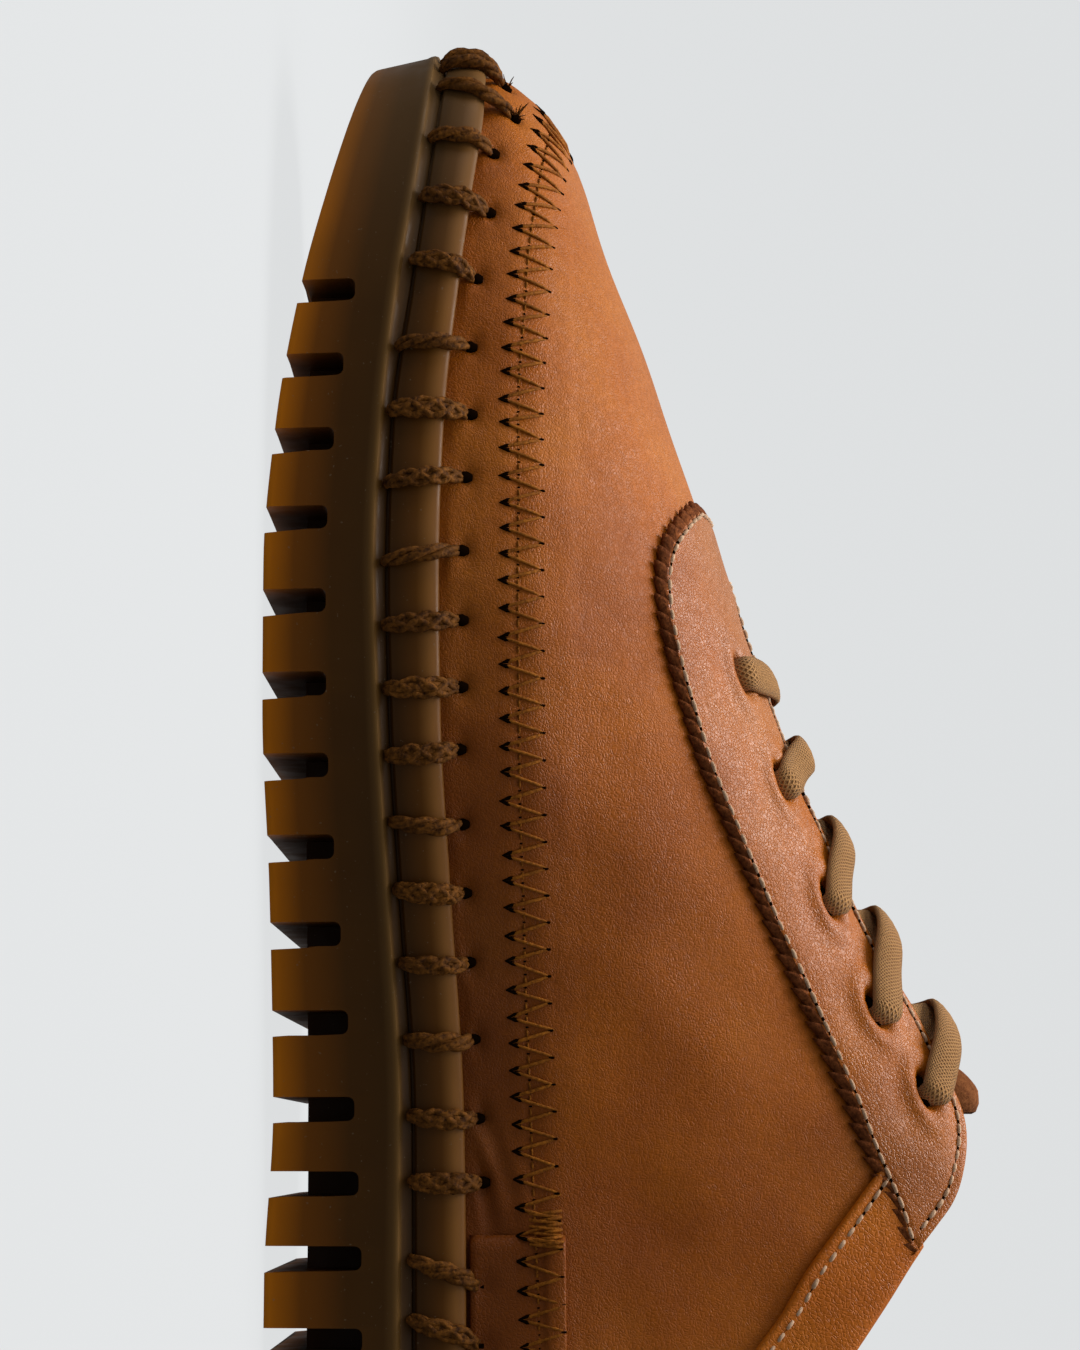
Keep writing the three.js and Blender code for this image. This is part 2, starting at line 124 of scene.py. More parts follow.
def curveThrough(rows, keepFlat=False):
    xs, ys = (np.array(part, float) for part in zip(*rows))
    step = np.diff(ys) / np.diff(xs)
    before, after = step[:-1], step[1:]
    if keepFlat:
        both = np.where(before + after == 0, 1, before + after)
        middle = np.where(before * after <= 0, 0, 2 * before * after / both)
    else:
        left, right = np.diff(xs)[:-1], np.diff(xs)[1:]
        middle = (before * right + after * left) / (left + right)
    tangents = np.concatenate([step[:1], middle, step[-1:]])

    def at(x):
        x = np.clip(x, xs[0], xs[-1])
        i = np.clip(np.searchsorted(xs, x, side="right") - 1, 0, len(xs) - 2)
        width = xs[i + 1] - xs[i]
        u = (x - xs[i]) / width
        return ((2 * u**3 - 3 * u**2 + 1) * ys[i] + (u**3 - 2 * u**2 + u) * width * tangents[i]
                + (3 * u**2 - 2 * u**3) * ys[i + 1] + (u**3 - u**2) * width * tangents[i + 1])

    return at


def unit(vectors):
    return vectors / np.linalg.norm(vectors, axis=-1, keepdims=True)


def farAlong(points):
    # the distance of each point along its line
    return np.concatenate([[0], np.cumsum(np.linalg.norm(np.diff(points, axis=0), axis=1))])


def softened(line):
    # the line with its inner points drawn towards their neighbours
    inner = (line[:-2] + 2 * line[1:-1] + line[2:]) / 4
    return np.concatenate([line[:1], inner, line[-1:]])


def turnAt(station):
    return np.arccos(np.clip(1 - 2 * np.asarray(station, float) / shoe["length"], -1, 1)) / np.pi


def edgeCurve(rows):
    return curveThrough([(float(turnAt(station)), side) for station, side in rows])


medialCurve, lateralCurve = edgeCurve(medialEdge), edgeCurve(lateralEdge)
heightOf = {name: curveThrough([(s, row[i]) for s, row in sideHeights.items()], True)
            for i, name in enumerate(sideColumns)}
roofAt = curveThrough(roofLine)
powerAt = curveThrough(fullness, True)
bellyAt = curveThrough(belly, True)
footRidgeAt = curveThrough(footRidge, True)


def floorAt(station):
    return heightOf["ridge"](station) - shoe["floorBelowRidge"]


def outline(turn):
    around = np.mod(turn, 2)
    along = np.where(around <= 1, around, 2 - around)
    side = np.where(around <= 1, medialCurve(along), lateralCurve(along))
    return np.stack([shoe["length"] * (1 - np.cos(np.pi * along)) / 2, side], -1)


def outwardAt(turn):
    nudge = 1e-3
    along = unit(outline(turn + nudge) - outline(turn - nudge))
    return np.stack([along[..., 1], -along[..., 0]], -1)


def outlineInset(turn, inset):
    return outline(turn) - outwardAt(turn) * (inset + 0 * np.asarray(turn))[..., None]


def middleOf(station):
    # the middle of the sole's width
    return (medialCurve(turnAt(station)) + lateralCurve(turnAt(station))) / 2


def spineStation(station):
    reach = shoe["fanReach"]
    fromHeel = shoe["length"] - station
    toe = np.where(station < reach, shoe["toeFan"] * (1 - station / reach) ** 2, 0)
    heel = np.where(fromHeel < reach, shoe["heelFan"] * (1 - fromHeel / reach) ** 2, 0)
    return station + toe - heel


def roofSlope(station):
    start = np.maximum(roofLine[0][0], station - 1)
    return (roofAt(station + 1) - roofAt(start)) / (station + 1 - start)


def lastPoint(turn, rise):
    station = outline(turn)[..., 0]
    foot = outlineInset(turn, shoe["footInset"])
    bottom = floorAt(station) + shoe["gap"]
    spring = heightOf["rimTop"](station) + shoe["springOverRim"]
    spine = spineStation(station)
    power = powerAt(spine)
    top = np.stack([spine, footRidgeAt(spine)], -1)
    angle = np.clip(rise, 0, 1) * np.pi / 2
    across = 1 - np.clip(np.cos(angle), 0, 1) ** (2 / power)
    up = np.sin(angle) ** (2 / power)
    plan = foot + (top - foot) * across[..., None]
    crown = roofAt(spine) + roofSlope(spine) * (plan[..., 0] - spine)
    height = spring + (crown - spring) * up
    overRim = (height - heightOf["rimTop"](station)) / (2 * shoe["bellyPeak"])
    wave = np.sin(np.pi * np.clip(overRim, 0, 1)) ** 2
    plan = plan + outwardAt(turn) * (bellyAt(station) * wave * (1 - across))[..., None]
    height = np.where(rise < 0, spring + (spring - bottom) * rise, height)
    return np.concatenate([plan, height[..., None]], -1)


def surfaceNormal(turn, rise, base):
    nudge = 1e-3
    around = lastPoint(turn + nudge, rise) - lastPoint(turn - nudge, rise)
    upward = lastPoint(turn, np.minimum(rise + nudge, 1)) - lastPoint(turn, np.maximum(-1, rise - nudge))
    normal = np.cross(around, upward)
    slope = roofSlope(base[..., 0])
    crest = np.stack([-slope, 0 * slope, 1 + 0 * slope], -1)
    normal = np.where((rise >= 0.9995)[..., None], crest, normal)
    return unit(normal)


def skin(turn, rise, offset=0.0):
    turn, rise = np.broadcast_arrays(np.asarray(turn, float), np.asarray(rise, float))
    base = lastPoint(turn, rise)
    if np.isscalar(offset) and offset == 0:
        return base
    lift = np.asarray(offset, float) + np.zeros(turn.shape)
    return base + surfaceNormal(turn, rise, base) * lift[..., None]


def toRow(points):
    placed = np.array(points, float)
    placed[..., 0] -= shoe["length"] / 2
    return placed * mm


# the upper charted from side to side: fold is 0 on the foot's ridge, -1 at the inner and 1 at the outer rim
def chartTurn(along, fold):
    return np.where(fold <= 0, along, 2 - along)


def chartSkin(along, fold, offset=0.0):
    along, fold = np.broadcast_arrays(np.asarray(along, float), np.asarray(fold, float))
    return skin(chartTurn(along, fold), 1 - np.abs(fold), offset)


# finds along and fold for places known by station and height, or by station and distance from the ridge
def findOnUpper(station, goal, outer, measure, offset=1.4):
    station, goal = (np.array(part, float) for part in np.broadcast_arrays(station, goal))
    along = turnAt(station)
    low, high = np.zeros(station.shape), np.ones(station.shape)
    for step in range(20):
        middle = (low + high) / 2
        point = skin(2 - along if outer else along, middle, offset)
        along = np.clip(along + (station - point[..., 0]) / (shoe["length"] * 1.5), 0, 1)
        if measure == "height":
            under = point[..., 2] < goal
        else:
            under = np.abs(point[..., 1] - footRidgeAt(station)) > goal
        low, high = np.where(under, middle, low), np.where(under, high, middle)
    fold = 1 - (low + high) / 2
    return along, fold if outer else -fold


# along and fold by station and signed distance from the foot's ridge
def ridgeChart(station, side):
    station, side = (np.array(part, float) for part in np.broadcast_arrays(station, side))
    inner = findOnUpper(station, np.abs(side), False, "side", 1.0)
    outer = findOnUpper(station, np.abs(side), True, "side", 1.0)
    return np.where(side > 0, outer[0], inner[0]), np.where(side > 0, outer[1], inner[1])


def halve(low, high, isUnder, steps):
    # narrows low and high to where isUnder changes
    for step in range(steps):
        middle = (low + high) / 2
        under = isUnder(middle)
        low, high = np.where(under, middle, low), np.where(under, high, middle)
    return low, high


# the rise at which the upper crosses a line of station and height, at each turn
def riseAtLine(turn, line, offset=0.0):
    def isUnder(rise):
        point = skin(turn, rise, offset)
        return point[..., 2] < line(point[..., 0])

    return sum(halve(np.zeros(np.shape(turn)), np.ones(np.shape(turn)), isUnder, 19)) / 2


def smooth(value):
    value = np.clip(value, 0, 1)
    return value * value * (3 - 2 * value)


def grown(station, start, reach, full=1):
    # grows softly from 0 at the start to full after the reach
    return full * smooth((station - start) / reach)


# spots spread evenly along a line of points
def evenly(points, count):
    far = farAlong(points)
    return np.interp(np.linspace(0, far[-1], count), far, np.arange(len(points))), far[-1]


def rowsAt(rows, place):
    return np.stack([np.interp(place, np.arange(len(part)), part) for part in rows])


# shared mesh helpers

def newObject(name, bm, smoothFaces=True, recalc=True):
    if recalc:
        bmesh.ops.recalc_face_normals(bm, faces=bm.faces)
    mesh = bpy.data.meshes.new(name)
    bm.to_mesh(mesh)
    bm.free()
    return placeMesh(name, mesh, smoothFaces)


def placeMesh(name, mesh, smoothFaces=True):
    mesh.name = name
    if smoothFaces:
        mesh.polygons.foreach_set("use_smooth", [True] * len(mesh.polygons))
    made = bpy.data.objects.new(name, mesh)
    bpy.context.collection.objects.link(made)
    return made


def gridShares(verts):
    # each corner's place across and along its flat grid, 0 to 1
    flat = np.array([v.co for v in verts])
    return (flat - flat.min(0))[:, :2] / (flat.max(0) - flat.min(0))[:2]


# a grid with corners placed by a function of across and along, each 0 to 1; corners that meet are joined
# and open ends are filled
def gridSheet(name, columns, rows, place, surfaces=None, leftOut=None):
    bm = bmesh.new()
    bmesh.ops.create_grid(bm, x_segments=columns, y_segments=rows, size=0.5)
    part = gridShares(bm.verts)
    uv = bm.loops.layers.uv.new("map")
    unwanted = []
    for face in bm.faces:
        middle = part[[v.index for v in face.verts]].mean(0)
        if leftOut and leftOut(*middle):
            unwanted.append(face)
        for corner in face.loops:
            corner[uv].uv = part[corner.vert.index]
        if surfaces:
            face.material_index = surfaces(middle[1])
    for vert, spot in zip(bm.verts, toRow(place(part[:, 0], part[:, 1]))):
        vert.co = spot
    bmesh.ops.delete(bm, geom=unwanted, context="FACES")
    bmesh.ops.remove_doubles(bm, verts=bm.verts, dist=2e-6)
    bmesh.ops.holes_fill(bm, edges=[e for e in bm.edges if e.is_boundary], sides=0)
    return newObject(name, bm)


# a sheet with one row for each entry of a profile: spotsAt gives that row's points at shares across
def profileSheet(name, columns, profile, spotsAt, **extra):
    last = len(profile) - 1

    def place(across, along):
        row = np.rint(along * last).astype(int)
        spots = np.zeros((len(row), 3))
        for i, entry in enumerate(profile):
            here = row == i
            spots[here] = spotsAt(across[here], *entry)
        return spots

    return gridSheet(name, columns, last, place, **extra)


def firmInside(columns):
    # 0 at the first and the last column, and 1 between
    inside = np.ones(columns + 1)
    inside[[0, -1]] = 0
    return inside


# many threads as one mesh: each run is its points in millimetres and its radius at each
def threadMesh(name, runs, sides):
    data = bpy.data.curves.new(name, "CURVE")
    data.dimensions = "3D"
    data.bevel_depth = mm
    data.bevel_resolution = sides
    data.use_fill_caps = True
    for points, radii in runs:
        spline = data.splines.new("POLY")
        spline.points.add(len(points) - 1)
        spots = toRow(points)
        spline.points.foreach_set("co", np.concatenate([spots, np.ones((len(spots), 1))], 1).ravel())
        spline.points.foreach_set("radius", np.asarray(radii, float))
    curve = bpy.data.objects.new(name + "Line", data)
    bpy.context.collection.objects.link(curve)
    graph = bpy.context.evaluated_depsgraph_get()
    mesh = bpy.data.meshes.new_from_object(curve.evaluated_get(graph))
    bpy.data.objects.remove(curve)
    return placeMesh(name, mesh)


# finds the points of many runs in one call; a run is the place function's inputs and then the radii
def placeRuns(runs, place):
    inputs = [np.broadcast_arrays(*run[:-1]) for run in runs]
    columns = [np.concatenate(part) for part in zip(*inputs)]
    cuts = np.cumsum([len(part[0]) for part in inputs])[:-1]
    return list(zip(np.split(place(*columns), cuts), [run[-1] for run in runs]))


def finishPiece(piece, slotName, materials, *nodes):
    for material in materials:
        piece.data.materials.append(material)
    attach(piece, "root")
    if nodes:
        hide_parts(*nodes)
    print(piece.name, len(piece.data.polygons), "faces")


# finishes

class Shading:
    # a tree of shader nodes; each input is another node's output or a plain value
    def __init__(self, owner):
        owner.use_nodes = True
        self.nodes, self.links = owner.node_tree.nodes, owner.node_tree.links

    def put(self, socket, value):
        if isinstance(value, bpy.types.NodeSocket):
            self.links.new(value, socket)
        else:
            socket.default_value = (*value, 1) if socket.type == "RGBA" else value

    def add(self, kind, inputs, output=0, **settings):
        node = self.nodes.new("ShaderNode" + kind)
        for key, value in settings.items():
            setattr(node, key, value)
        for key, value in inputs.items():
            self.put(node.inputs[key], value)
        return node.outputs[output]

    def math(self, operation, *values):
        return self.add("Math", dict(enumerate(values)), operation=operation)

    def mix(self, factor, first, second):
        return self.add("Mix", {0: factor, 6: first, 7: second}, 2, data_type="RGBA")

    def range(self, source, low, high, toLow=0.0, toHigh=1.0):
        limits = {"From Min": low, "From Max": high, "To Min": toLow, "To Max": toHigh}
        return self.add("MapRange", {"Value": source, **limits}, interpolation_type="SMOOTHSTEP")

    def ramp(self, source, stops):
        colour = self.add("ValToRGB", {"Fac": source})
        points = colour.node.color_ramp.elements
        while len(points) < len(stops):
            points.new(0.5)
        for point, (place, shade) in zip(points, stops):
            point.position = place
            point.color = (*shade, 1)
        return colour

    def bump(self, height, strength, distance, before=None):
        inputs = {"Height": height, "Strength": strength, "Distance": distance}
        return self.add("Bump", {**inputs, "Normal": before} if before else inputs)

    def noise(self, where, scale, detail, rough=0.5, output="Fac"):
        inputs = {"Vector": where, "Scale": scale, "Detail": detail, "Roughness": rough}
        return self.add("TexNoise", inputs, output)

    def split(self, vector):
        return self.add("SeparateXYZ", {"Vector": vector}).node.outputs


class Paint(Shading):
    # a material, returned by finish with the shader's inputs set
    def __init__(self, name):
        self.material = bpy.data.materials.new(name)
        super().__init__(self.material)

    def place(self):
        return self.add("TexCoord", {}, "Object")

    def finish(self, inputs):
        for key, value in inputs.items():
            self.put(self.nodes["Principled BSDF"].inputs[key], value)
        return self.material


def shaded(colour, share):
    return [c * share for c in colour]


leather = {
    "deep": (0.265, 0.055, 0.0008),
    "mid": (0.425, 0.108, 0.0022),
    "pale": (0.530, 0.165, 0.0100),
    # the colour of the painted highlight near the top of the toe and the vamp
    "paintedHighlight": (0.430, 0.215, 0.1150),
    "grain": 1750,
    "creaseScale": 300,
    "roughness": 0.47,
    # stains: centre in metres, reach in metres, strength
    "stains": [((0.040, -0.019, 0.098), 0.014, 0.35), ((0.046, -0.02, 0.108), 0.010, 0.30),
               ((0.008, -0.045, 0.064), 0.030, 0.22), ((0.062, -0.036, 0.046), 0.026, 0.30),
               ((-0.105, -0.036, 0.047), 0.022, 0.12)],
}


def leatherMaterial(name, tone=1.0, paintedHighlight=0.35, roughness=leather["roughness"], grain=1.0, gloss=0.20):
    paint = Paint(name)
    where = paint.place()
    split = paint.split(where)
    stops = ((0.22, "deep"), (0.50, "mid"), (0.80, "pale"))
    colour = paint.ramp(paint.noise(where, 22.0, 3.0, 0.62),
                        [(at, shaded(leather[shade], tone)) for at, shade in stops])
    # painted highlight: the toe and the vamp are paler and pinker near the top, where the light from above
    # falls; painted shade darkens the foot of the leather
    rising = paint.add("VectorMath", {0: where, 1: (-0.36, 0.0, 1.0)}, "Value", operation="DOT_PRODUCT")
    high = paint.range(rising, 0.086, 0.100, 0.0, paintedHighlight)
    forward = paint.range(split["X"], -0.045, -0.012, 1.0, 0.0)
    colour = paint.mix(paint.math("MULTIPLY", high, forward), colour, leather["paintedHighlight"])
    # painted shade: darker low down towards the heel, and darker towards the heel end, where less light
    # falls
    foot = paint.range(split["Z"], 0.035, 0.058, 1.0, 0.0)
    backward = paint.range(split["X"], -0.10, 0.03, 0.08, 0.72)
    darker = [(paint.math("MULTIPLY", foot, backward), 0.30),
              (paint.range(split["X"], 0.0, 0.11, 0.0, 0.35), 0.8)]
    for centre, reach, strength in leather["stains"]:
        far = paint.add("VectorMath", {0: where, 1: centre}, "Value", operation="DISTANCE")
        darker.append((paint.range(far, reach * 0.25, reach, strength, 0.0), 0.55))
    warp = paint.noise(where, 500.0, 1.0, output="Color")
    moved = paint.add("VectorMath", {0: warp, 1: (0.0011, 0.0011, 0.0011), 2: where}, "Vector",
                      operation="MULTIPLY_ADD")
    cells = paint.add("TexVoronoi", {"Vector": moved, "Scale": leather["grain"] * grain}, "Distance",
                      feature="DISTANCE_TO_EDGE")
    fine = paint.noise(where, 900.0, 2.0, 0.6)
    coarse = paint.noise(where, leather["creaseScale"], 2.0, 0.6)
    normal = paint.bump(coarse, 0.16, 0.0005)
    normal = paint.bump(paint.range(cells, 0.0, 0.22), 0.55, 0.00011, normal)
    normal = paint.bump(fine, 0.30, 0.00016, normal)
    darker.append((paint.range(fine, 0.35, 0.65, 0.18, 0.0), 0.5))
    for factor, share in darker:
        colour = paint.mix(factor, colour, shaded(leather["deep"], share))
    shine = paint.range(coarse, 0.3, 0.7, roughness - 0.05, roughness + 0.08)
    return paint.finish({"Base Color": colour, "Normal": normal, "Roughness": shine,
                         "Specular IOR Level": gloss})


def fibreMaterial(name, dark, light, scale, roughness, bump):
    # suede, raw edges, threads and cloth: two tones by fine noise
    paint = Paint(name)
    where = paint.place()
    fine = paint.noise(where, scale, 2.0, 0.65)
    shade = paint.range(paint.noise(where, scale / 9, 1.0), 0.35, 0.65, 0.35, 0.0)
    colour = paint.mix(shade, paint.ramp(fine, [(0.3, dark), (0.7, light)]), dark)
    return paint.finish({"Base Color": colour, "Normal": paint.bump(fine, bump, 0.0003),
                         "Roughness": roughness, "Specular IOR Level": 0.10})


lace = {
    "dark": (0.190, 0.084, 0.024),
    "light": (0.480, 0.250, 0.088),
    "ribs": 24,
    "courses": 1.0,
}


def laceMaterial():
    # a flat knitted tape: little chevrons in the tape's own map, with dark pinholes between them
    paint = Paint("laceCotton")
    split = paint.split(paint.add("UVMap", {}, "UV", uv_map="map"))
    ribs = paint.math("MULTIPLY", split["X"], 2 * math.pi * lace["ribs"])
    waves = []
    for slant in (1, -1):
        course = paint.math("MULTIPLY", split["Y"], slant * 2 * math.pi * lace["courses"])
        waves.append(paint.math("SINE", paint.math("ADD", ribs, course)))
    weave = paint.math("MAXIMUM", *waves)
    fuzz = paint.noise(paint.place(), 1800.0, 3.0, 0.7)
    colour = paint.mix(paint.range(weave, -0.6, 0.7), lace["dark"], lace["light"])
    colour = paint.mix(paint.range(fuzz, 0.35, 0.7, 0.45, 0.0), colour, shaded(lace["dark"], 1.6))
    normal = paint.bump(fuzz, 0.4, 0.0002, paint.bump(weave, 0.8, 0.00022))
    return paint.finish({"Base Color": colour, "Normal": normal, "Roughness": 0.85,
                         "Specular IOR Level": 0.12, "Sheen Weight": 0.12})


gum = {
    # colour by zone: 0 at the tread, 1 at the ridge, 2 at the foot of the rim, 3 at its top; the bright
    # amber at the tread is painted light glowing through the rubber, the paler lines at the ridge and near
    # the top of the rim are painted highlights, and the darkest band, in the groove at the foot of the rim,
    # is painted shade
    "zones": [
        (0.0, (0.720, 0.2220, 0.0024)), (0.09, (0.504, 0.1500, 0.0019)),
        (0.28, (0.185, 0.0554, 0.0020)), (0.62, (0.071, 0.0256, 0.0020)),
        (0.90, (0.065, 0.0263, 0.0031)), (1.02, (0.170, 0.0880, 0.0241)),
        (1.30, (0.071, 0.0305, 0.0057)), (1.85, (0.040, 0.0163, 0.0026)),
        (2.15, (0.054, 0.0192, 0.0017)), (2.55, (0.116, 0.0412, 0.0050)),
        (2.80, (0.248, 0.1051, 0.0241)), (3.0, (0.149, 0.0568, 0.0085)),
    ],
    "roughness": 0.40,
    "streaks": (0.105, 0.042, 0.0045),
    "slotShade": (0.030, 0.0105, 0.0016),
    "toeLight": (0.150, 0.088, 0.036),
    "dust": (0.22, 0.17, 0.11),
}


def gumMaterial():
    paint = Paint("gumRubber")
    where = paint.place()
    zone, deep = (paint.add("Attribute", {}, "Fac", attribute_name=name) for name in ("zone", "depth"))
    colour = paint.ramp(paint.math("DIVIDE", zone, 3.0), [(z / 3, c) for z, c in gum["zones"]])
    veils = [("streaks", paint.noise(where, 60.0, 2.0, 0.6), 0.3, 0.7, 0.0, 0.18),
             # painted shade: darker deep in the slots, away from the sole's sides
             ("slotShade", deep, 3.0, 13.0, 0.0, 0.80),
             # painted light: the sole's side is paler towards the toe, where more light falls
             ("toeLight", paint.split(where)["X"], -0.152, -0.085, 0.55, 0.0),
             ("dust", paint.noise(where, 1500.0, 1.0), 0.73, 0.78, 0.0, 0.35)]
    for tone, source, *limits in veils:
        colour = paint.mix(paint.range(source, *limits), colour, gum[tone])
    haze = paint.noise(where, 160.0, 2.0, 0.6)
    shine = paint.range(haze, 0.3, 0.7, gum["roughness"] - 0.05, gum["roughness"] + 0.12)
    return paint.finish({"Base Color": colour, "Roughness": shine, "Specular IOR Level": 0.14,
                         "Normal": paint.bump(haze, 0.12, 0.0004)})


# each leather's tone and share of painted highlight; the collar band's paler tone is a painted highlight
# too, for the light it catches near the topline
tanLeather = leatherMaterial("tanLeather")
facingLeather = leatherMaterial("facingLeather", 0.92, 0.60, 0.38, 0.95, 0.27)
bandLeather = leatherMaterial("bandLeather", 1.25, 0.30, 0.44, 0.8)
heelLeather = leatherMaterial("heelLeather", 0.95, 0.2, 0.44, 0.9)
liningLeather = fibreMaterial("liningLeather", (0.26, 0.145, 0.066), (0.40, 0.245, 0.125), 700, 0.75, 0.3)
footbedLeather = fibreMaterial("footbedLeather", (0.30, 0.17, 0.075), (0.44, 0.27, 0.135), 500, 0.7, 0.3)
suede = fibreMaterial("tongueSuede", (0.110, 0.032, 0.009), (0.240, 0.085, 0.026), 1300, 0.95, 0.7)
rawEdge = fibreMaterial("rawEdge", (0.068, 0.0170, 0.0045), (0.240, 0.072, 0.020), 1500, 0.95, 0.8)
seamThread = fibreMaterial("seamThread", (0.150, 0.045, 0.004), (0.400, 0.135, 0.012), 1700, 0.7, 0.6)
whipYarn = fibreMaterial("whipYarn", (0.036, 0.0110, 0.0013), (0.225, 0.082, 0.011), 1100, 0.72, 0.9)
paleThread = fibreMaterial("paleThread", (0.400, 0.245, 0.145), (0.700, 0.480, 0.320), 1900, 0.75, 0.4)
# painted shade: one near-black finish for the dark marks in holes and under thread tips
paintedHoleShade = Paint("paintedHoleShade").finish({"Base Color": (0.006, 0.0025, 0.001), "Roughness": 1.0,
                                         "Specular IOR Level": 0.0})
laceCotton = laceMaterial()
gumRubber = gumMaterial()
print("finishes made")

# outsole

sole = {
    "columns": 420,
    "slots": [51.8, 64.8, 77.5, 90.6, 104.2, 117.5, 130.4, 143.2, 156.9, 170.9, 184.7, 196.6, 208.5,
              221.5, 234.6, 247.7, 260.8, 273.9],
    "slotWidth": 3.8,
    "slotFlare": 0.55,
    "slotCorner": 1.15,
    "throughHeight": 6.2,
    "pocketDepth": 14,
    "middleIn": 12,
    "sharpFrom": 38,
}


# inset from the outline, level and rise above it; the levels are 0 at the tread, 1 at the ridge, 2 at
# the foot of the rim and 3 at its top, and a row without inset lies on the middle line
edge, cupInside = shoe["treadInset"], shoe["rimWall"] + shoe["rimInset"]
soleSection = [
    (None, 0, 0), (9, 0, 0), (edge + 0.7, 0, 0), (edge + 0.2, 0, 0.08), (edge - 0.05, 0, 0.45),
    (edge - 0.2, 0, 1.0), (1.5, 0.4, 0), (0.45, 1, -1.6), (0.12, 1, -0.9), (0.0, 1, -0.35),
    (0.12, 1, 0.1), (0.5, 1, 0.3), (1.0, 1, 0.55),
    (1.35, 1.55, -0.2), (1.7, 2, -0.55), (1.95, 2, -0.42), (2.2, 2, -0.3), (2.15, 2, -0.05),
    (1.45, 2, 0.1), (1.15, 2, 0.4), (0.92, 2.3, 0), (0.85, 2.55, 0), (1.0, 2.8, 0), (1.3, 3, -0.7),
    (1.65, 3, -0.22), (2.1, 3, 0), (2.7, 3, -0.05), (cupInside - 0.2, 3, -0.3), (cupInside, 3, -0.6),
]
levelNames = ["tread", "ridge", "rimBase", "rimTop"]


def soleLevel(station, level):
    # a height up the sole's side by its level
    step = min(int(level), 2)
    low, high = (heightOf[name](station) for name in levelNames[step:step + 2])
    return low * (1 - (level - step)) + high * (level - step)


def planAt(turn, inset, middleIn):
    # a plan at an inset from the outline, or on the middle line where there is no inset
    if inset is not None:
        return outlineInset(turn, inset)
    station = outline(turn)[:, 0]
    return np.stack([np.clip(station, middleIn, shoe["length"] - middleIn), middleOf(station)], -1)


def makeSlotCutter():
    bm = bmesh.new()
    half, flare = sole["slotWidth"] / 2, sole["slotFlare"]
    corners = []
    for station in sole["slots"]:
        turn = float(turnAt(station))
        top = float(heightOf["slotTop"](station))
        inner = float(medialCurve(turn)) + sole["pocketDepth"]
        outer = float(lateralCurve(turn)) - sole["pocketDepth"]
        web, past, below = sole["throughHeight"], 80, -5
        outlineOf = [(-past, below), (past, below), (past, top), (outer, top), (outer, web),
                     (inner, web), (inner, top), (-past, top)]
        face = bm.faces.new([bm.verts.new(toRow([(station - half, y, z)])[0]) for y, z in outlineOf])
        grown = bmesh.ops.extrude_face_region(bm, geom=[face])["geom"]
        moved = [g for g in grown if isinstance(g, bmesh.types.BMVert)]
        bmesh.ops.translate(bm, verts=moved, vec=(sole["slotWidth"] * mm, 0, 0))
        for vert in moved:      # the heel-side wall leans back towards the tread
            low = vert.co.z < web * mm * 0.5
            vert.co.x += flare * mm * (1.5 if low else 0.1)
        corners += [e for e in bm.edges if e.is_valid and e not in corners
                    and all(abs(v.co.z - top * mm) < 1e-7 for v in e.verts)
                    and abs(e.verts[0].co.y - e.verts[1].co.y) > 0.01
                    and abs(e.verts[0].co.x / mm + shoe["length"] / 2 - station) < sole["slotWidth"]]
    bmesh.ops.bevel(bm, geom=corners, offset=sole["slotCorner"] * mm, segments=4, profile=0.5,
                    affect="EDGES", material=-1)
    return newObject("slotCutter", bm, smoothFaces=False)


def makeOutsole():
    def spotsAt(across, inset, level, rise):
        turn = across * 2
        station = outline(turn)[:, 0]
        height = floorAt(station) if level is None else soleLevel(station, level) + rise
        return np.concatenate([planAt(turn, inset, sole["middleIn"]), height[:, None]], -1)

    profile = soleSection + [(cupInside, None, 0), (None, None, 0)]
    body = profileSheet("gumSole", sole["columns"], profile, spotsAt)
    cutter = makeSlotCutter()
    cut = body.modifiers.new("slots", "BOOLEAN")
    cut.operation = "DIFFERENCE"
    cut.solver = "EXACT"
    cut.object = cutter
    graph = bpy.context.evaluated_depsgraph_get()
    mesh = bpy.data.meshes.new_from_object(body.evaluated_get(graph))
    body.modifiers.clear()
    body.data = mesh
    bpy.data.objects.remove(cutter)
    flat = np.zeros(len(mesh.vertices) * 3)
    mesh.vertices.foreach_get("co", flat)
    spots = flat.reshape(-1, 3) / mm
    station = spots[:, 0] + shoe["length"] / 2
    heights = [heightOf[name](station) for name in levelNames]
    zone = np.zeros(len(station))
    for i in range(3):
        zone += np.clip((spots[:, 2] - heights[i]) / (heights[i + 1] - heights[i]), 0, 1)
    turn = turnAt(station)
    side = np.minimum(spots[:, 1] - medialCurve(turn), lateralCurve(turn) - spots[:, 1])
    for name, values in (("zone", zone), ("depth", np.clip(side, 0, 40))):
        layer = mesh.attributes.new(name, "FLOAT", "POINT")
        layer.data.foreach_set("value", values)
    mesh.set_sharp_from_angle(angle=math.radians(sole["sharpFrom"]))
    return body


finishPiece(makeOutsole(), "gum_rubber", [gumRubber], "outsole")
print("outsole made")

# upper

